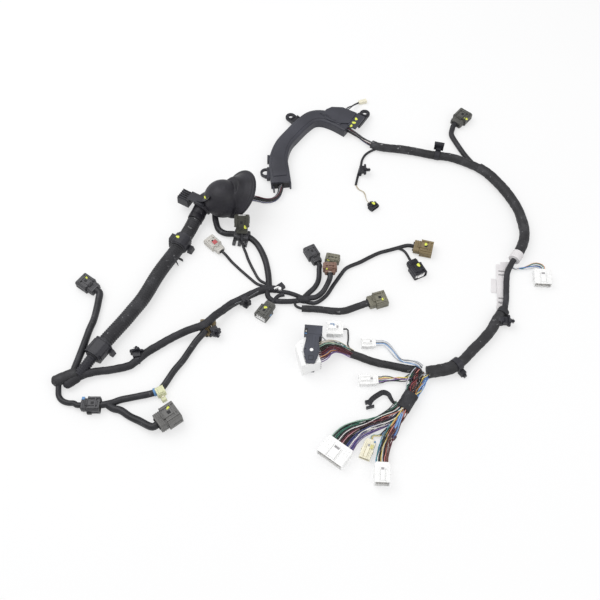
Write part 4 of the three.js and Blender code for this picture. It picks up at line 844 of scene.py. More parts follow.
def make_bundles():
    inner = ["black", "grey", "black", "maroon", "black", "teal", "white", "black", "maroon", "grey",
             "navy", "black"]
    bundle("cover_loose_wires", cover_wires_route, (0.0075, 0.0065), (0.0075, 0.0018), inner,
           "cover_wires", 3, seed=5, settle=0.9, radius=bundle_wire_radius, crowd=1.5)
    lever_back = [Vector((-0.0143, 0, 0.0147)), Vector((-0.0075, 0, 0.0147))]
    lever_fan_route = lever_wires_route + [seat(lever_pin, lever_mating) @ p for p in lever_back]
    bundle("lever_plug_fan", lever_fan_route, (0.0105, 0.0085), (0.025, 0.004),
           ["purple", "maroon", "orange", "navy", "blue", "maroon", "black", "red", "maroon",
            "orange", "black", "brown", "salmon", "black", "mint", "beige", "brown", "beige",
            "grey", "mint", "teal", "beige"],
           "lever_plug_wires", 4, seed=7, settle=0.1, lift=0.003, radius=bundle_wire_radius, crowd=1.5)
    bundle("upper_small_strands", upper_small_route[::-1], (0.006, 0.004), (0.0095, 0.001),
           ["pale", "sky", "grey", "pale"], "upper_small_wires", 2, "upper_small_white_plug", 11,
           0.0014, radius=small_wire_radius)
    bundle("lower_small_strands", lower_small_route[::-1], (0.006, 0.004), (0.0105, 0.001),
           ["black", "purple", "green", "pink", "yellow", "black"], "lower_small_wires", 2,
           "lower_small_white_plug", 12, 0.0016, radius=small_wire_radius)
    bundle("main_strands", main_bundle_route, (0.021, 0.011), (0.019, 0.003),
           ["blue", "sky", "blue", "black", "yellow", "orange", "black", "grey", "black", "pale",
            "black", "salmon", "pink", "black", "salmon", "red", "black", "maroon", "white",
            "black", "green", "pale", "green"],
           "main_bundle", 4, seed=21, settle=0.7, sway=0.0019, radius=bundle_wire_radius, crowd=2.1)
    bundle("left_strands", left_bundle_route, (0.015, 0.011), (0.034, 0.0035),
           ["purple", "navy", "purple", "black", "white", "maroon", "black", "navy", "grey",
            "black", "salmon", "black", "pink", "maroon", "black", "red", "maroon", "white",
            "black", "brown", "black", "green", "teal", "grey", "black", "mint", "green", "pale"],
           "left_bundle", 3, "wide_white_plug", 31, 0.0019, 0.35, thin_wire_radius, crowd=1.8)
    bundle("right_strands", right_bundle_route, (0.0125, 0.009), (0.0165, 0.0035),
           ["maroon", "brown", "black", "maroon", "salmon", "brown", "black", "maroon", "pale",
            "yellow", "orange", "yellow", "black", "teal", "white", "teal", "blue", "sky"],
           "right_bundle", 3, "end_white_plug", 41, 0.0017, 0.5, thin_wire_radius, crowd=1.9)
    bundle("yellow_lead_strands", yellow_lead_route, (0.002, 0.001), (0.004, 0.001),
           ["yellow", "beige", "mint"], None, 1, "yellowed_white_plug", 43, 0.0008, radius=0.0006)
    bundle("label_plug_strands", label_route, (0.0035, 0.003), (0.012, 0.001),
           ["orange", "teal", "black", "blue", "pale"], "label_plug_wires", 2, "label_white_plug",
           51, 0.0012, radius=bundle_wire_radius, slot="cable_jacket")
    sky = [(0.1225, -0.231, 0.009), (0.1195, -0.241, 0.0125), (0.1155, -0.252, 0.0125),
           (0.1115, -0.262, 0.008), (0.1085, -0.268, 0.003)]
    bundle("blue_strands", sky, (0.006, 0.003), (0.004, 0.002), ["sky", "blue", "sky", "blue"],
           None, 2, seed=44, sway=0.0008, settle=0.6)
    bend = [(0.1115, -0.2615, 0.004), (0.1135, -0.266, 0.0025), (0.1095, -0.271, 0.0015)]
    strand("black_loop_wire", bend, 0.0009, "black")
    stub_wire = [(0.1015, -0.2555, 0.006), (0.0975, -0.2595, 0.0055), (0.0925, -0.264, 0.004)]
    strand("black_stub_wire", stub_wire, 0.0009, "black")
    stray = [(0.016, -0.128, 0.024), (0.0195, -0.131, 0.024), (0.023, -0.134, 0.0215)]
    strand("grey_stray_wire", stray, 0.0007, "grey")
    companion = [(-0.1215, -0.085, 0.015), (-0.113, -0.0755, 0.0125), (-0.105, -0.0715, 0.0125),
                 (-0.095, -0.066, 0.012), (-0.085, -0.059, 0.0118), (-0.072, -0.05, 0.0118)]
    strand("companion_wire", companion, 0.0012, "black")
    strand("companion_light_wire", [(x, y + 0.0022, z - 0.0008) for x, y, z in companion[2:]], 0.0005,
           "grey")


# Plugs
def rounded(width, height, corner, z0, per_corner=4):
    """(y, z) points of a rounded rectangle that stands on z0, centred on y = 0."""
    corner = min(corner, 0.45 * width, 0.45 * height)
    y, low, high = width / 2 - corner, z0 + corner, z0 + height - corner
    loop = []
    for cy, cz, start in ((y, high, 0), (-y, high, 90), (-y, low, 180), (y, low, 270)):
        for k in range(per_corner + 1):
            angle = math.radians(start + 90 * k / per_corner)
            loop.append((cy + corner * math.cos(angle), cz + corner * math.sin(angle)))
    return loop


def at_x(x, loop):
    """An outline of (y, z) points as points at one x."""
    return [(x, y, z) for y, z in loop]


def shell(build, x0, x1, outer, inner, surface, place):
    """An open sleeve between an outer and an inner outline, from x0 to x1."""
    build.loft([at_x(x0, outer), at_x(x1, outer), at_x(x1, inner), at_x(x0, inner), at_x(x0, outer)],
               surface, place, capped=False)


sealed_wall = 0.0015
core_gap = 0.0012


def sealed_plug(name, accents=()):
    """A sealed plug: seal carrier, shroud, terminal block with its ports, rails and a latch."""
    shade, core_shade, ports = sealed_looks[name]
    _, _, _, (length, width, height) = plugs[name]
    place = plug_place(name)
    carrier = 0.36 * length
    deck = height - sealed_latch_rise
    build = Build()
    back, ridge = rounded(width - 0.005, deck - 0.003, 0.0025, 0.0015), 0.0005
    grown = rounded(width - 0.005 + 2 * ridge, deck - 0.003 + 2 * ridge, 0.0028, 0.0015 - ridge)
    loops = [at_x(0, back)]
    for k in range(3):
        x = carrier * (0.2 + 0.24 * k)
        loops += [at_x(x, back), at_x(x + 0.0003, grown), at_x(x + 0.0010, grown), at_x(x + 0.0013, back)]
    loops.append(at_x(carrier + 0.001, back))
    build.loft(loops, shade, place)
    outer = rounded(width, deck, 0.0028, 0)
    inner = rounded(width - 2 * sealed_wall, deck - 2 * sealed_wall, 0.002, sealed_wall)
    shell(build, carrier, length, outer, inner, shade, place)
    lip = rounded(width + 0.0006, deck + 0.0003, 0.0028, 0)
    build.bar(carrier - 0.0002, carrier + 0.0012, lip, shade, place)
    rim = sealed_wall + core_gap
    core = rounded(width - 2 * rim, deck - 2 * rim, 0.0012, rim)
    build.bar(carrier, length - 0.0015, core, core_shade, place)
    spread = (width - 0.0075) / ports
    middle = deck / 2
    # Each port: a near-black box of painted shade in its cavity on the front of the block, and the rubber
    # seal of its wire at the back
    for k in range(ports):
        y = (k - (ports - 1) / 2) * spread
        low = (length - 0.002, y - 0.0007, middle - 0.0012)
        build.box(low, (length - 0.0013, y + 0.0007, middle + 0.0012), seal_rubber_and_painted_hole_shade, place)
        seal = place @ Matrix.Translation((0, y, middle))
        build.drum(-0.0014, 0.0002, 0.0016, seal_rubber_and_painted_hole_shade, seal, 12)
    for side in (-1, 1):
        y = side * 0.34 * width
        build.box((carrier, y - 0.0009, deck - 0.0005), (length - 0.001, y + 0.0009, height - 0.0004),
                  shade, place)
        y = side * width / 2
        build.box((length * 0.55, y - 0.0006, deck * 0.3), (length - 0.002, y + 0.0006, deck * 0.45),
                  shade, place)
    half = 0.17 * width
    build.box((carrier - 0.003, -half, deck - 0.0008), (length - 0.003, half, height - 0.0007),
              shade, place)
    for k in range(3):
        x = carrier - 0.0026 + 0.0013 * k
        build.box((x, -half, height - 0.0009), (x + 0.0006, half, height - 0.0001), shade, place)
    build.box((length - 0.0065, -0.36 * width, height - 0.0009), (length - 0.0045, 0.36 * width, height),
              shade, place)
    # A near-black slot of painted shade in the latch
    build.box((length * 0.55, -half * 0.5, height - 0.0008), (length * 0.7, half * 0.5, height - 0.0004),
              seal_rubber_and_painted_hole_shade, place)
    for low, high, accent in accents:
        build.box(low, high, accent, place)
    return build.stand_in(name, 0.00035)


def white_plug(name, shade=white_plastic, rows=2, accents=()):
    """A white plug: cells at the back, walls and windows on top, guide ribs and a latch."""
    _, _, _, (length, width, height) = plugs[name]
    place = plug_place(name)
    deck = height - white_latch_rise
    build = Build()
    inside, outside = rounded(width - 0.0024, deck - 0.002, 0.0006, 0.001), rounded(width, deck, 0.001, 0)
    build.bar(0, 0.0035, inside, shade, place)
    inner = rounded(width - 0.0024, deck - 0.0024, 0.0006, 0.0012)
    shell(build, 0.003, length, outside, inner, shade, place)
    core = rounded(width - 0.0018, deck - 0.0018, 0.0006, 0.0009)
    build.bar(0.0034, length * 0.72, core, shade, place)
    pitch = 0.0023
    columns = max(3, int((width - 0.004) / pitch))
    for row in range(rows):
        z = 0.001 + (deck - 0.002) * (row + 0.5) / rows
        for column in range(columns):
            y = (column - (columns - 1) / 2) * pitch
            # Each cell: a grey box of painted shade on the back face, and a metal terminal further in
            build.box((-0.0001, y - 0.0007, z - 0.0009), (0.0006, y + 0.0007, z + 0.0009), grey_print_and_painted_cell_shade, place)
            build.box((length * 0.72, y - 0.0004, z - 0.0004), (length - 0.002, y + 0.0004, z + 0.0004),
                      metal, place)
    wall = 0.0004
    for k in range(columns // 2 + 1):
        y = (k - columns // 2 / 2) * 2 * pitch
        build.box((0.004, y - wall, deck - 0.0004), (length * 0.5, y + wall, deck + 0.0005), shade, place)
    band = length * 0.55
    ribs = rounded(width + 0.0016, deck + 0.0004, 0.001, 0)
    build.bar(band, band + 0.0018, ribs, shade, place)
    half = 0.14 * width
    build.box((length * 0.3, -half, deck - 0.0004), (length - 0.002, half, height), shade, place)
    # A grey window of painted shade in the latch
    build.box((length * 0.3, -half * 0.7, height - 0.0003), (length * 0.42, half * 0.7, height + 0.0001),
              grey_print_and_painted_cell_shade, place)
    for side in (-1, 1):
        y = side * (half + 0.0012)
        build.box((length * 0.3, y - 0.0005, deck - 0.0004), (length - 0.001, y + 0.0005, height - 0.0004),
                  shade, place)
    for low, high, accent in accents:
        build.box(low, high, accent, place)
    return build.stand_in(name, 0.0003)


slot_of = {part["node"]: part["material_slot"] for part in frame["record"]["subparts"]}


plug_accents = {
    "upright_plug": [((0.0268, -0.0055, 0.0035), (0.0271, 0.0055, 0.0085), white_plastic)],
    "grey_white_plug": [((0.012, -0.004, 0.0122), (0.0185, 0.0025, 0.0131), red_mark)],
    "lower_plug": [((0.0262, -0.0085, 0.0022), (0.0281, 0.0085, 0.0035), white_plastic),
                   ((0.0145, 0.0094, 0.004), (0.018, 0.0104, 0.009), blue_plastic)],
    "tucked_plug": [((0.011, -0.0085, 0.0074), (0.0145, -0.005, 0.0085), white_plastic)],
    "inline_plug": [((0.0005, 0.0055, 0.006), (0.0045, 0.0095, 0.0125), blue_plastic),
                    # a near-black patch of painted shade on its side
                    ((0.008, -0.012, 0.002), (0.014, -0.0095, 0.008), seal_rubber_and_painted_hole_shade)],
    "large_grey_plug": [((0.0235, 0.0125, 0.007), (0.0275, 0.0142, 0.016), blue_plastic)],
    "cluster_bottom_plug": [((-0.0004, y - 0.0007, 0.009), (0.0016, y + 0.0007, 0.0108), metal)
                            for y in (-0.001, 0.0015)],
    "black_plug": [((0.0278, -0.005, 0.0035), (0.0281, 0.005, 0.0095), white_plastic)],
}


def make_plugs():
    for name in sealed_looks:
        sealed_plug(name, plug_accents.get(name, ()))
    white_plug("label_white_plug")
    white_plug("single_wire_white_plug", accents=[
        ((0.013, -0.005, 0.0112), (0.0185, -0.0038, 0.0122), blue_plastic),
        ((0.0125, -0.005, 0.0112), (0.0137, -0.001, 0.0122), blue_plastic)])
    white_plug("upper_small_white_plug")
    white_plug("lower_small_white_plug")
    white_plug("wide_white_plug", rows=3)
    white_plug("end_white_plug", rows=3)
    white_plug("yellowed_white_plug", cream_plastic, accents=[
        ((0.008, 0.002, 0.0085), (0.0135, 0.0062, 0.0092), yellow_plastic),
        ((0.0015, 0.0045, 0.0068), (0.0038, 0.0068, 0.0082), blue_plastic)])


# Lever plug
def lever_housing():
    """The white housing: a block with a round end, a raised wall, ribs, cells and its pivot."""
    place = seat(lever_pin, lever_mating)
    floor, roof = lever_height
    build = Build()
    outline = []
    rear, front, side_reach, end_radius = -0.008, 0.019, 0.02, 0.0233
    start, finish = math.asin(rear / end_radius), math.asin(front / end_radius)
    for k in range(15):
        angle = -math.pi / 2 + start + (finish - start) * k / 14
        outline.append((end_radius * math.cos(angle), end_radius * math.sin(angle)))
    outline += [(front, side_reach), (rear, side_reach)]
    inset = [(x * 0.93, y * 0.95) for x, y in outline]
    levels = ((outline, floor), (outline, roof - 0.001), (inset, roof))
    build.loft([[(x, y, z) for x, y in loop] for loop, z in levels], white_plastic, place)
    build.box((0.0135, -0.004, 0), (front + 0.0003, side_reach + 0.0003, 0.0289), white_plastic, place)
    build.box((0.0145, -0.0035, 0.0285), (front - 0.001, side_reach - 0.0006, 0.0294), white_plastic, place)
    for k in range(9):
        y = -0.015 + 0.0042 * k
        build.box((0.0042, y, roof - 0.0002), (0.012, y + 0.0008, roof + 0.0006), white_plastic, place)
        # The cells are grey boxes of painted shade on the rear face
        for row in range(4):
            z = floor + 0.0032 + 0.0052 * row
            build.box((rear - 0.0002, y, z), (rear + 0.001, y + 0.0018, z + 0.0022), grey_print_and_painted_cell_shade, place)
    build.box((0.0125, 0.0085, 0.0292), (0.0135, 0.0115, 0.0296), grey_print_and_painted_cell_shade, place)
    upright = place @ Matrix.Rotation(-math.pi / 2, 4, "Y")
    build.drum(0.0006, 0.029, 0.0022, white_plastic, upright, 20, 0.0006)
    build.piece("lever_housing_body", ["lever_plug_housing"], slot_of["lever_plug_housing"], 0.0004)


def lock_lever():
    """The mating lever: two arms on the pivot, joined by a hollow slab at their far end."""
    place = seat(lever_pin, lever_rest)
    half, near, far, top, thick = 0.0125, 0.0242, 0.0382, 0.0288, 0.0025
    arm = Build()
    hub, tail, tail_half = 0.011, 0.02, 0.0052
    side = [(near - 0.002, half * 0.86), (near - 0.004, hub * 0.72)]
    side += [(hub * math.cos(a), hub * math.sin(a)) for a in (0.42 * math.pi, 0.5 * math.pi, 0.6 * math.pi)]
    side += [(-0.0125, 0.0078), (-tail, tail_half)]
    rim = [(far, half)] + side
    flat = rim + [(x, -y) for x, y in reversed(rim)]
    for z0, z1 in ((0.0006, 0.0006 + thick), (top - thick, top)):
        loops = [[(x, y, z) for x, y in flat] for z in (z0, z1)]
        arm.loft(loops, lever_plastic, place)
    rise = 0.0007
    for (xa, ya), (xb, yb) in zip(rim[1:], rim[2:]):
        for mirror in (-1, 1):
            low, high = min(xa, xb), max(xa, xb)
            y = mirror * (ya + yb) / 2 * 0.9
            arm.box((low, y - 0.0006, top - 0.0005), (high, y + 0.0006, top + rise * 0.6), lever_plastic,
                    place)
    for y in (-0.0036, 0.0005, 0.0046):
        arm.box((0.0045, y - 0.0005, top - 0.0005), (near - 0.001, y + 0.0005, top + rise * 0.5),
                lever_plastic, place)
    # A near-black frame of painted shade in the groove round a raised pad, and a near-black slot of painted
    # shade beside the pivot
    arm.box((-0.0155, -0.0035, top - 0.0003), (-0.0085, 0.0035, top + 0.0001), seal_rubber_and_painted_hole_shade, place)
    arm.box((-0.0147, -0.0028, top - 0.0002), (-0.0093, 0.0028, top + 0.0003), lever_plastic, place)
    arm.box((0.0, 0.0072, top - 0.0003), (0.0018, 0.009, top + 0.0002), seal_rubber_and_painted_hole_shade, place)
    slab_low, slab_high = 0.0038, top - 0.0042
    wall_low, wall_high = 0.001, top - 0.001
    edge = half - 0.0006
    for low, high in (((near + 0.0003, -half + 0.0003, 0.0007), (far, half - 0.0003, slab_low)),
                      ((near + 0.0003, -half + 0.0003, slab_high), (far, half - 0.0003, top + 0.0004)),
                      ((near + 0.0006, -edge, wall_low), (near + 0.0025, edge, wall_high)),
                      ((near + 0.0008, half - 0.0022, wall_low), (far - 0.0008, half - 0.0002, wall_high)),
                      ((near + 0.0008, 0.0002 - half, wall_low), (far - 0.0008, 0.0018 - half, wall_high)),
                      ((far - 0.0022, -half + 0.006, wall_low), (far - 0.0003, half - 0.0008, wall_high))):
        arm.box(low, high, lever_plastic, place)
    # A near-black opening of painted shade round a metal terminal
    arm.box((near + 0.0012, half - 0.0048, top - 0.0004), (near + 0.0085, half - 0.0012, top + 0.0006),
            seal_rubber_and_painted_hole_shade, place)
    arm.box((near + 0.0025, half - 0.0038, top - 0.0002), (near + 0.005, half - 0.002, top + 0.0008),
            metal, place)
    arm.box((near - 0.0005, half - 0.0042, top - 0.0002), (near + 0.001, half - 0.001, top + 0.0006),
            blue_plastic, place)
    boss = place @ Matrix.Rotation(-math.pi / 2, 4, "Y")
    arm.drum(top - 0.001, top + 0.0003, 0.0046, lever_plastic, boss, 24)
    arm.drum(top, top + 0.0006, 0.0024, white_plastic, boss, 20)
    arm.stand_in("lock_lever", 0.0004, "lever")


# Grommet, cover, clips, label and strap
def applied(piece, *tools):
    """Keeps what the piece's modifiers make as its mesh, and takes the cutting tools away."""
    bpy.context.view_layer.update()
    graph_now = bpy.context.evaluated_depsgraph_get()
    made = bpy.data.meshes.new_from_object(piece.evaluated_get(graph_now))
    piece.modifiers.clear()
    piece.data = made
    for tool in tools:
        bpy.data.objects.remove(tool)
    return piece


def bare_object(build, name):
    """An object of the built faces alone, to be merged or cut."""
    mesh = bpy.data.meshes.new(name)
    mesh.from_pydata([tuple(p) for p in build.points], [], build.faces)
    piece = bpy.data.objects.new(name, mesh)
    scene.collection.objects.link(piece)
    return piece


flange_centre = Vector((-0.1049, 0.1127, 0.0295))
dome_centre = Vector((-0.1286, 0.1037, 0.031))
flange_radius = 0.0385
dome_radius = 0.029
rubber_wall = 0.003


def ball(build, centre, radius, surface):
    """A ball whose two poles are small flat faces."""
    loops = []
    for i in range(1, 16):
        polar = math.pi * i / 16
        size, z = radius * math.sin(polar), -radius * math.cos(polar)
        loops.append([centre + Vector((size * math.cos(full_turn * k / 32),
                                       size * math.sin(full_turn * k / 32), z)) for k in range(32)])
    build.loft(loops, surface)


def cone(build, sizes, place, surface, sides=48):
    """A round form along the local X axis, through pairs of a place and a radius."""
    loops = [[(x, r * math.cos(full_turn * k / sides), r * math.sin(full_turn * k / sides))
              for k in range(sides)] for x, r in sizes]
    build.loft(loops, surface, place)


def make_grommet():
    """The rubber grommet: dome, throat and flange merged into one skin, and hollowed out."""
    place = seat(flange_centre, 8, -44)
    outside, inside = Build(), Build()
    ball(outside, dome_centre, dome_radius, rubber)
    cone(outside, [(-0.020, 0.0208), (-0.011, 0.0262), (-0.005, 0.0325), (0, 0.0345)], place, rubber)
    cone(outside, [(-0.0042, 0.0355), (-0.0034, flange_radius - 0.0006), (-0.002, flange_radius),
                   (0.0008, flange_radius), (0.002, flange_radius - 0.0012)], place, rubber)
    outside.tube(smooth([(-0.163, 0.096, 0.0155), (-0.156, 0.104, 0.0195), (-0.148, 0.106, 0.0245)]),
                 0.0152, rubber, 32)
    ball(inside, dome_centre, dome_radius - rubber_wall, rubber)
    cone(inside, [(-0.019, 0.0178), (-0.011, 0.0228), (-0.005, 0.0295), (0.006, 0.0308)], place, rubber)
    cone(inside, [(0.0022, 0.046), (0.034, 0.046)], place, rubber)
    inside.box((-0.18, 0.05, -0.02), (-0.06, 0.17, 0.0005), rubber)
    made, hollow = bare_object(outside, "grommet_rubber"), bare_object(inside, "grommet_hollow")
    for piece, voxel in ((made, 0.0011), (hollow, 0.0014)):
        merge = piece.modifiers.new("merge", "REMESH")
        merge.mode = "VOXEL"
        merge.voxel_size = voxel
    ease = made.modifiers.new("ease", "SMOOTH")
    ease.iterations = 7
    carve = made.modifiers.new("carve", "BOOLEAN")
    carve.object = hollow
    carve.solver = "EXACT"
    applied(made, hollow)
    made.data.materials.clear()
    made.data.materials.append(rubber)
    made.data.shade_smooth()
    made.data.set_sharp_from_angle(angle=math.radians(50))
    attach(made, harness)
    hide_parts("grommet")


def channel(width, low, high, corner):
    """The section of a covered channel with round upper edges."""
    half = width / 2
    points = [(-half, low), (half, low)]
    for centre, start in ((half - corner, 0), (-half + corner, 90)):
        for k in range(6):
            angle = math.radians(start + 90 * k / 5)
            points.append((centre + corner * math.cos(angle), high - corner + corner * math.sin(angle)))
    return points


def tapered_channel(build, line, widths, low, high, corner, surface):
    """A channel along a line, whose width goes from the first of widths to the second."""
    steps = rings(line)
    total = steps[-1][3]
    loops = []
    for p, side, _, along in steps:
        width = widths[0] + (widths[1] - widths[0]) * min(1, max(0, (along / total - 0.12) / 0.3))
        loops.append([p + side * a + up_axis * h for a, h in channel(width, low, high, corner)])
    build.loft(loops, surface)


def reach(angle, box):
    """How far a ray from the middle of a hole goes to the edge of a plate (x0, x1, y0, y1)."""
    c, s = math.cos(angle), math.sin(angle)
    ways = []
    if abs(c) > 1e-6:
        ways.append((box[1] if c > 0 else box[0]) / c)
    if abs(s) > 1e-6:
        ways.append((box[3] if s > 0 else box[2]) / s)
    return min(w for w in ways if w > 0)


def holed_plate(build, place, box, hole, z0, z1, surface, corner=1.0):
    """A plate with a round hole at the local origin; corner rounds its far end."""
    sides = 48
    outer, inner = [], []
    for k in range(sides):
        angle = full_turn * k / sides
        far = reach(angle, box)
        if math.cos(angle) > 0:
            far = min(far, box[1] * corner + 0.25 * far * (1 - corner))
        outer.append((far * math.cos(angle), far * math.sin(angle)))
        inner.append((hole * math.cos(angle), hole * math.sin(angle)))
    loops = [[(x, y, z) for x, y in outline] for outline, z in
             ((outer, z0), (outer, z1), (inner, z1), (inner, z0), (outer, z0))]
    build.loft(loops, surface, place, capped=False)


def make_cover():
    """The cable cover: tray, lid, mouth, ribbed plate, bar, two tabs and the hook."""
    line = smooth([(-0.042, 0.148, 0)] + [(x, y, 0) for x, y, _ in cover_run_points], 0.004)
    build = Build()
    tapered_channel(build, line, (0.031, 0.0245), 0.0, 0.0125, 0.001, cover_plastic)
    tapered_channel(build, line, (0.0318, 0.0252), 0.0118, 0.0162, 0.0034, cover_plastic)
    tapered_channel(build, line[3:-3], (0.0215, 0.0155), 0.0155, 0.0173, 0.0014, cover_plastic)
    # The open lower end: a near-black plate of painted shade in the mouth between two side walls, and a
    # pointed tongue over the wires
    mouth = seat((-0.042, 0.148, 0), 99)
    build.box((-0.0006, -0.0128, 0.0022), (0.002, 0.0128, 0.0125), seal_rubber_and_painted_hole_shade, mouth)
    build.box((-0.004, -0.0158, 0), (0.001, -0.0132, 0.0135), cover_plastic, mouth)
    build.box((-0.0075, 0.0108, 0.0), (0.001, 0.0132, 0.009), cover_plastic, mouth)
    # Broad ribbed plate over the far end
    fan = [(0.024, 0.29), (0.031, 0.299), (0.04, 0.304), (0.058, 0.303), (0.0805, 0.2905), (0.067, 0.268),
           (0.052, 0.2685), (0.04, 0.272), (0.03, 0.278)]
    build.loft([[(x, y, z) for x, y in fan] for z in (0.0143, 0.0182)], cover_plastic)
    for k in range(6):
        ray = Vector((-0.02 + 0.0042 * k, 0.014 - 0.0006 * k * k, 0))
        rib = seat(Vector((0.046, 0.2725, 0)) + ray * 0.15, math.degrees(math.atan2(ray.y, ray.x)))
        build.box((0, -0.0005, 0.0178), (ray.length * 1.15, 0.0005, 0.0188), cover_plastic, rib)
    bar = seat((0.071, 0.261, 0), 57.5)
    build.box((0, -0.0073, 0.0143), (0.0298, 0.0073, 0.0177), cover_plastic, bar)
    for side in (-0.0073, 0.006):
        build.box((0.012, side, 0.006), (0.0294, side + 0.0013, 0.015), cover_plastic, bar)
    # Two fixing tabs with their holes, and the hook
    for at, heading, span in (((-0.0145, 0.277, 0), 134.6, 0.0275), ((0.0799, 0.2752, 0), 57.5, 0.0355)):
        middle = span - 0.0085
        tab = seat(at, heading) @ Matrix.Translation((middle, 0, 0))
        holed_plate(build, tab, (-middle - 0.003, 0.0085, -0.0085, 0.0085), 0.0033, 0.006, 0.009,
                    black_plastic)
        holed_plate(build, tab, (-0.0055, 0.0055, -0.0055, 0.0055), 0.0034, 0.009, 0.0102,
                    black_plastic)
        build.box((-middle - 0.003, -0.0085, 0.009), (-0.0072, -0.0072, 0.0125), black_plastic, tab)
        build.box((-middle - 0.003, 0.0072, 0.009), (-0.0072, 0.0085, 0.0125), black_plastic, tab)
    hook = seat((-0.0665, 0.173, 0), 165)
    holed_plate(build, hook, (-0.0075, 0.0085, -0.0095, 0.0095), 0.005, 0.005, 0.009, black_plastic)
    build.box((-0.0645, 0.16, 0.003), (-0.0595, 0.182, 0.011), cover_plastic)
    build.box((-0.0645, 0.193, 0.004), (-0.0605, 0.206, 0.012), cover_plastic)
    build.piece("cable_cover_body", ["cable_cover_tray", "cable_cover_lid"], slot_of["cable_cover_lid"],
                bevel=0.0005)


def rosette(name, at, heading, size=1.15, petals=5, shade=black_plastic, band_radius=None):
    """A push-in clip: foot, round skirt with lobes, and a finned stem, beside its cable."""
    place = seat((at[0], at[1], 0.008 * size), heading)
    build = Build()
    build.box((-0.002, -0.0052, -0.0038), (0.006, 0.0052, 0.0038), shade, place)
    build.drum(0.006, 0.0076, 0.005 * size, shade, place, 20, 0.0005)
    for k in range(petals):
        angle = full_turn * (k + 0.25) / petals
        lobe = place @ Matrix.Rotation(angle, 4, "X") @ Matrix.Translation((0, 0, 0.0048 * size))
        build.drum(0.0055, 0.0082, 0.003 * size, shade, lobe, 14, 0.0006)
    build.drum(0.007, 0.0148, 0.0019, shade, place, 14, 0.0008)
    for k in range(3):
        x = 0.0095 + 0.0018 * k
        build.box((x, -0.0038, -0.0007), (x + 0.0008, 0.0038, 0.0007), shade, place)
        build.box((x, -0.0007, -0.0034), (x + 0.0008, 0.0007, 0.0034), shade, place)
    if band_radius:
        beside = Matrix.Translation((0, band_radius * 0.6, band_radius))
        ring = seat((at[0], at[1], 0), heading + 90) @ beside
        build.drum(-0.003, 0.003, band_radius * 1.08, shade, ring, 24)
    return build.piece(name, [], "black_plastic", bevel=0.0003)


def belt(name, at, heading, radius, width, shade, slot="black_plastic"):
    """A strap or a tape band round a cable."""
    build = Build()
    build.drum(-width / 2, width / 2, radius, shade, seat(at, heading), 28)
    return build.piece(name, [], slot, bevel=0.0002)


def conduit_clamp():
    """The clamp at the lower end of the conduit, with its two feet."""
    clamp = seat((-0.289, -0.143, 0), 57)
    build = Build()
    profile = rounded(0.0245, 0.0236, 0.007, 0, 6)
    build.bar(-0.0128, 0.0128, profile, black_plastic, clamp)
    lid = rounded(0.027, 0.013, 0.004, 0.0085, 5)
    build.bar(-0.0095, 0.0095, lid, black_plastic, clamp)
    flange = rounded(0.0262, 0.0245, 0.0085, 0, 6)
    for x in (-0.013, 0.0105):
        build.bar(x, x + 0.0025, flange, black_plastic, clamp)
    build.box((-0.009, 0.0125, 0), (0.009, 0.018, 0.0065), black_plastic, clamp, 0.0008)
    build.box((0.0045, -0.0185, 0.0), (0.0125, -0.0115, 0.0115), black_plastic, clamp, 0.001)
    build.box((-0.0088, 0.0035, 0.0212), (0.0088, 0.0045, 0.0224), dark_grey, clamp)
    build.stand_in("conduit_clamp", 0.0006)


def conduit_clip():
    """The ring clip at the upper end of the conduit, with its blocks."""
    clip = seat((-0.189, 0.036, 0), 63)
    build = Build()
    profile = rounded(0.0255, 0.0245, 0.0095, 0, 6)
    build.bar(-0.0085, 0.0085, profile, black_plastic, clip)
    build.bar(-0.011, 0.011, rounded(0.0235, 0.0235, 0.0105, 0.0005, 6), tape, clip)
    build.box((-0.0065, 0.0065, 0.0105), (0.0065, 0.0185, 0.0195), black_plastic, clip, 0.0012)
    build.box((-0.0055, 0.0115, 0), (0.0055, 0.0205, 0.0105), black_plastic, clip, 0.001)
    build.box((-0.0105, 0.007, 0.004), (-0.0055, 0.0165, 0.0125), black_plastic, clip, 0.0008)
    build.box((-0.0055, -0.0195, 0), (0.0055, -0.0115, 0.0095), black_plastic, clip, 0.001)
    build.stand_in("conduit_clip", 0.0006)


def corner_bracket():
    """The ribbed block beside the grommet, and its strap up over the dome."""
    corner = seat((-0.169, 0.104, 0), 150)
    build = Build()
    build.box((0.010, -0.010, 0.012), (0.030, 0.010, 0.0262), black_plastic, corner, 0.0007)
    for k in range(5):
        y = -0.0085 + 0.0037 * k
        build.box((0.0105, y, 0.0258), (0.0293, y + 0.0016, 0.0278), black_plastic, corner)
    # A near-black hole of painted shade among the ribs
    build.box((0.0175, -0.002, 0.0262), (0.0205, 0.0005, 0.0281), seal_rubber_and_painted_hole_shade, corner)
    build.box((-0.015, -0.008, 0.0305), (0.012, 0.008, 0.0333), black_plastic, corner, 0.0005)
    build.box((0.0085, -0.008, 0.0205), (0.012, 0.008, 0.032), black_plastic, corner)
    build.box((-0.0175, -0.0068, 0.0268), (-0.0138, 0.0068, 0.0325), black_plastic, corner)
    strap_ends = [(-0.004, 0.0318), (-0.012, 0.0345), (-0.02, 0.0415), (-0.027, 0.0505)]
    for (x0, z0), (x1, z1) in zip(strap_ends, strap_ends[1:]):
        band = [(x0, z0), (x1, z1), (x1, z1 + 0.0022), (x0, z0 + 0.0022)]
        build.loft([[(x, y, z) for x, z in band] for y in (-0.0052, 0.0052)], black_plastic, corner)
    build.stand_in("corner_bracket", 0.0005)


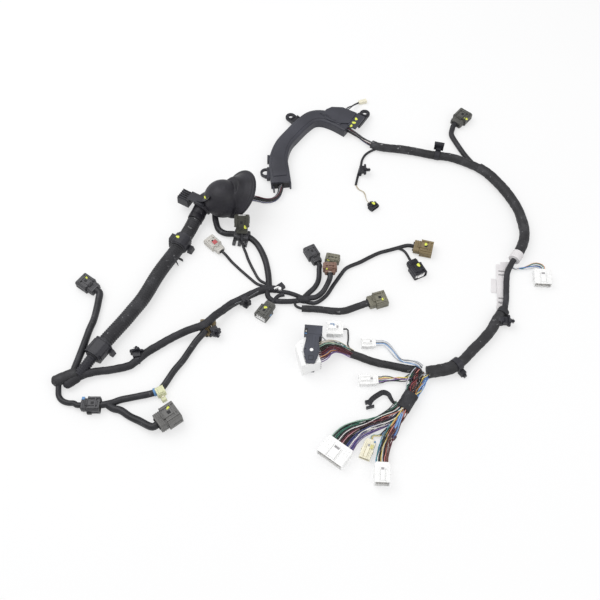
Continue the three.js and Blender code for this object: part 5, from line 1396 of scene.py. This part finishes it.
def drop_clip():
    """The saddle under the upright plug, with its three feet."""
    saddle = seat((-0.1, 0.053, 0), -10)
    build = Build()
    build.bar(-0.011, 0.011, rounded(0.0155, 0.0122, 0.003, 0), dark_grey, saddle)
    for x in (-0.0118, -0.0035, 0.0055):
        build.box((x, -0.0165, 0.0008), (x + 0.0052, -0.006, 0.0072), dark_grey, saddle, 0.0006)
        # A near-black slot of painted shade in each foot
        build.box((x + 0.0012, -0.0135, 0.0068), (x + 0.0036, -0.0075, 0.0078), seal_rubber_and_painted_hole_shade, saddle)
    build.box((-0.009, -0.0045, 0.0118), (0.009, 0.0045, 0.0132), dark_grey, saddle, 0.0008)
    build.box((0.0095, 0.001, 0.004), (0.0125, 0.0065, 0.0115), dark_grey, saddle)
    build.stand_in("drop_clip", 0.0005)


def arm_clip():
    """The small pale clip on the long looped cable."""
    small = seat((-0.2, -0.203, 0), 30)
    build = Build()
    build.bar(-0.006, 0.006, rounded(0.0135, 0.011, 0.003, 0), pale_yellow_plastic, small)
    build.box((-0.004, -0.0145, 0.0), (0.0032, -0.0055, 0.0055), pale_yellow_plastic, small, 0.0006)
    build.box((-0.0022, -0.0095, 0.0052), (0.0015, -0.006, 0.0064), cream_plastic, small)
    build.box((-0.0032, -0.0045, 0.0108), (0.0032, 0.0045, 0.0118), pale_yellow_plastic, small)
    build.stand_in("arm_clip", 0.0004)


def make_clips():
    """All clips and bands, from left to right."""
    conduit_clamp()
    conduit_clip()
    corner_bracket()
    drop_clip()
    arm_clip()
    belt("arm_blue_band", (-0.2075, -0.2035, 0.005), 22, 0.0056, 0.0042, blue_plastic)

    rosette("left_push_clip", (-0.236, -0.152), 100, 1.3, band_radius=0.0058)
    rosette("middle_push_clip", (-0.091, -0.06), -80, band_radius=0.0058)
    rosette("tucked_push_clip", (-0.1335, -0.1085), -60)
    rosette("top_push_clip", (0.083, 0.178), 0)
    rosette("right_push_clip", (0.274, -0.096), 0, band_radius=0.0076)
    belt("thin_top_collar", (0.0825, 0.178, 0.0037), 76, 0.0036, 0.012, black_plastic)
    belt("end_band", (0.2015, -0.1645, 0.01), 37, 0.0098, 0.0085, black_plastic)
    belt("end_sleeve_band", (0.2745, -0.0815, 0.0086), 56, 0.0084, 0.007, tape, "cloth_tape")
    end_band_head()
    belt("outer_saddle_band", (0.206, 0.2087, 0.0079), -13, 0.0078, 0.0075, black_plastic)
    outer_saddle()


def end_band_head():
    """The head of the band round the end sleeve."""
    build = Build()
    head = seat((0.2015, -0.1645, 0), 37)
    build.box((-0.0045, -0.0165, 0.001), (0.0045, -0.0075, 0.0085), black_plastic, head, 0.0008)
    build.box((-0.0025, -0.0195, 0.0015), (0.0025, -0.0145, 0.006), black_plastic, head, 0.0006)
    build.piece("end_band_head", [], "black_plastic", bevel=0.0004)


def outer_saddle():
    """The stand of the saddle clip on the outer trunk."""
    build = Build()
    stand = seat((0.207, 0.2105, 0), -13)
    build.box((-0.0045, 0.002, 0.008), (0.0045, 0.0105, 0.0165), black_plastic, stand, 0.0006)
    build.box((-0.0075, 0.0075, 0.0095), (0.0075, 0.0105, 0.0215), black_plastic, stand)
    build.box((-0.0078, 0.0085, 0.0205), (0.0078, 0.0135, 0.0225), black_plastic, stand)
    build.piece("outer_saddle", [], "black_plastic", bevel=0.0004)


def flag_label():
    """The folded paper flag, its bare bars and the paper round the cable."""
    strip = seat((0.284, 0, 0), -7)
    build = Build()
    rows, columns = 30, 4
    grid = []
    for i in range(rows + 1):
        y = -0.074 + 0.078 * i / rows
        lift = 0.0012 + 0.0012 * math.sin(3.2 * i / rows) + 0.003 * max(0, i / rows - 0.85)
        grid.append([(x + 0.0007 * math.sin(5 * i / rows), y, lift) for x in
                     [-0.007 + 0.014 * k / columns for k in range(columns + 1)]])
    loops = [row + [(x, y, z - 0.0004) for x, y, z in reversed(row)] for row in grid]
    build.loft(loops, paper, strip)
    build.box((-0.0145, -0.046, 0.0006), (-0.0062, -0.022, 0.0011), paper, strip)
    # Bare grey bars stand where a printed label has its print
    for y, half in ((-0.062, 0.0012), (-0.055, 0.0008), (-0.0145, 0.001), (-0.008, 0.0007)):
        build.box((-0.0042, y - half, 0.0012), (0.0042, y + half, 0.00275), grey_print_and_painted_cell_shade, strip)
    wrap = seat((0.306, 0.013, 0.009), 56)
    build.drum(-0.0068, 0.0068, 0.0087, paper, wrap, 32)
    build.box((0.284, -0.003, 0.0008), (0.302, 0.0085, 0.0016), paper)
    build.piece("flag_label_paper", ["flag_label"], slot_of["flag_label"], bevel=0.0001)


def tie_and_tag():
    """The white tie and the square black tag at the central joint."""
    tie = Build()
    tie.drum(-0.001, 0.001, 0.0064, white_plastic, seat((-0.0465, -0.042, 0.006), 118), 28)
    tie.box((-0.0435, -0.0445, 0.006), (-0.0395, -0.0405, 0.0105), white_plastic)
    tie.piece("white_tie", [], "white_plastic", bevel=0.0003)
    tag = Build()
    tag.box((-0.0055, -0.0048, 0.0001), (0.0055, 0.0048, 0.0066), black_plastic,
            seat((-0.0405, -0.0355, 0), 38), 0.0005)
    tag.piece("square_tag", [], "black_plastic", bevel=0.0004)


def loose_strap():
    """The twisted strap that lies loose beside the bundles, and the two blocks of its toe."""
    line = smooth(strap_route, 0.002)
    band = Build()
    loops = []
    for p, side, _, along in rings(line):
        twist = 0.35 + 0.25 * math.sin(along * 60)
        wide = 0.0012 + 0.0024 * min(1, along / 0.03)
        across = (side * math.cos(twist) + up_axis * math.sin(twist)) * wide
        thick = (up_axis * math.cos(twist) - side * math.sin(twist)) * 0.0006
        middle = p + up_axis * max(0, 0.0042 - p.z + abs(across.z))
        loops.append([middle - across - thick, middle + across - thick, middle + across + thick,
                      middle - across + thick])
    band.loft(loops, tape)
    for index in range(2, len(loops) - 1, 2):
        a, b = loops[index][3], loops[index][2]
        band.tube([a, a.lerp(b, 0.5), b], 0.00045, tape, 6)
    toe = seat((0.0805, -0.2225, 0), 15)
    band.box((-0.0055, -0.0035, 0.0002), (0.0055, -0.0008, 0.0062), black_plastic, toe)
    band.box((-0.0045, 0.0035, 0.0002), (0.0035, 0.0078, 0.0062), black_plastic, toe)
    band.piece("loose_strap", [], "cloth_tape", bevel=0.0002, smooth_below=60)


def torn_tape_ends():
    """Two torn ends of tape that stand off the conduit."""
    torn = Build()
    ends = (((-0.1905, 0.0125, 0.0045), -30, 0.006), ((-0.1945, 0.0065, 0.004), -60, 0.005))
    for at, heading, size in ends:
        torn.box((-size, -0.0004, -0.003), (size, 0.0004, 0.003), tape, seat(at, heading))
    torn.piece("torn_tape_ends", [], "cloth_tape")


# Marking paint, put where the photograph shows it on whatever lies under that pixel
paint_pixels = [
    (86.2, 278), (177.8, 236.7), (205.4, 197.2), (244.6, 227.2), (265.5, 307.3), (168, 408),
    (318.5, 249.2), (329.2, 260), (327.5, 269.6), (426, 244.6), (418.5, 265), (383.2, 298.8),
    (373.6, 203.2), (466, 118.6), (356.2, 119), (354, 122.7), (351.3, 125.8),
]
paint_radius = 0.0026
paint_lowest = 0.002
paint_seed = 9
paint_layers = ((-0.0004, 1.0), (0.0001, 1.0), (0.00035, 0.8), (0.0005, 0.35))
paint_corners = 16
floor_white_share = 0.6
floor_reach = 6
floor_level = -0.0002
sky_strength = 0.62
lamps = (("key", (-0.9, 0.5, 1.7), 1.6, 18.8), ("fill", (1.1, -0.8, 1.5), 1.4, 8.6))


def make_paint():
    """A low round blob of paint at each of the paint pixels."""
    bpy.context.view_layer.update()
    graph_now = bpy.context.evaluated_depsgraph_get()
    view = camera.matrix_world.copy()
    chance = random.Random(paint_seed)
    build = Build()
    for u, v in paint_pixels:
        ray = Vector(((u - image_pixels / 2) / focal_pixels, (image_pixels / 2 - v) / focal_pixels, -1))
        ray = (view.to_3x3() @ ray).normalized()
        hit, at, normal, _, _, _ = scene.ray_cast(graph_now, view.translation, ray)
        if not hit or at.z < paint_lowest:
            continue
        if normal.z < 0.5:
            normal = up_axis
        turn = normal.to_track_quat("X", "Y").to_matrix().to_4x4()
        place = Matrix.Translation(at + ray * 0.0001) @ turn
        size = paint_radius * chance.uniform(0.85, 1.15)
        loops = []
        for x, share in paint_layers:
            loop = []
            for k in range(paint_corners):
                angle = full_turn * k / paint_corners
                r = size * share * (1 + 0.18 * math.sin(2 * angle + u) + 0.1 * math.sin(3 * angle + v))
                loop.append((x, r * math.cos(angle), r * math.sin(angle)))
            loops.append(loop)
        build.loft(loops, yellow_paint, place)
    build.piece("marking_paint", [], "yellowed_plastic", smooth_below=80)


# Floor, light and world
def floor_paper():
    """Pale paper that takes a soft shadow; camera and mirror rays see it nearly white."""
    made = plastic("floor_paper", (0.93, 0.93, 0.935), 0.9, 0.01, 200, 0.02, 2)
    tree = made.node_tree
    output, shader = tree.nodes["Material Output"], tree.nodes["Principled BSDF"]
    white = tree.nodes.new("ShaderNodeEmission")
    white.inputs["Strength"].default_value = 1
    light_path = tree.nodes.new("ShaderNodeLightPath")
    seen = light_path.outputs["Is Camera Ray"]
    for ray in ("Is Glossy Ray", "Is Transmission Ray"):
        seen = maths(tree, "MAXIMUM", seen, light_path.outputs[ray])
    share = maths(tree, "MULTIPLY", seen, floor_white_share)
    mix = tree.nodes.new("ShaderNodeMixShader")
    tree.links.new(share, mix.inputs["Fac"])
    tree.links.new(shader.outputs["BSDF"], mix.inputs[1])
    tree.links.new(white.outputs["Emission"], mix.inputs[2])
    tree.links.new(mix.outputs["Shader"], output.inputs["Surface"])
    return made


def make_stage():
    """The floor, the world and the two lamps."""
    mesh = bpy.data.meshes.new("floor")
    corners = ((-1, -1), (1, -1), (1, 1), (-1, 1))
    mesh.from_pydata([(x * floor_reach, y * floor_reach, floor_level) for x, y in corners], [],
                     [(0, 1, 2, 3)])
    floor = bpy.data.objects.new("floor", mesh)
    scene.collection.objects.link(floor)
    floor.data.materials.append(floor_paper())
    world = bpy.data.worlds.new("studio")
    scene.world = world
    world.use_nodes = True
    sky = world.node_tree.nodes["Background"]
    sky.inputs["Color"].default_value = (1, 1, 1, 1)
    sky.inputs["Strength"].default_value = sky_strength
    for name, place, size, power in lamps:
        lamp = bpy.data.lights.new(name, "AREA")
        lamp.size = size
        lamp.energy = power
        light = bpy.data.objects.new(name, lamp)
        light.location = place
        light.rotation_euler = (-Vector(place)).to_track_quat("-Z", "Y").to_euler()
        scene.collection.objects.link(light)
    scene.view_settings.view_transform = "Standard"


make_cables()
make_bundles()
make_plugs()
lever_housing()
lock_lever()
make_grommet()
make_cover()
make_clips()
flag_label()
tie_and_tag()
loose_strap()
torn_tape_ends()
make_paint()
make_stage()
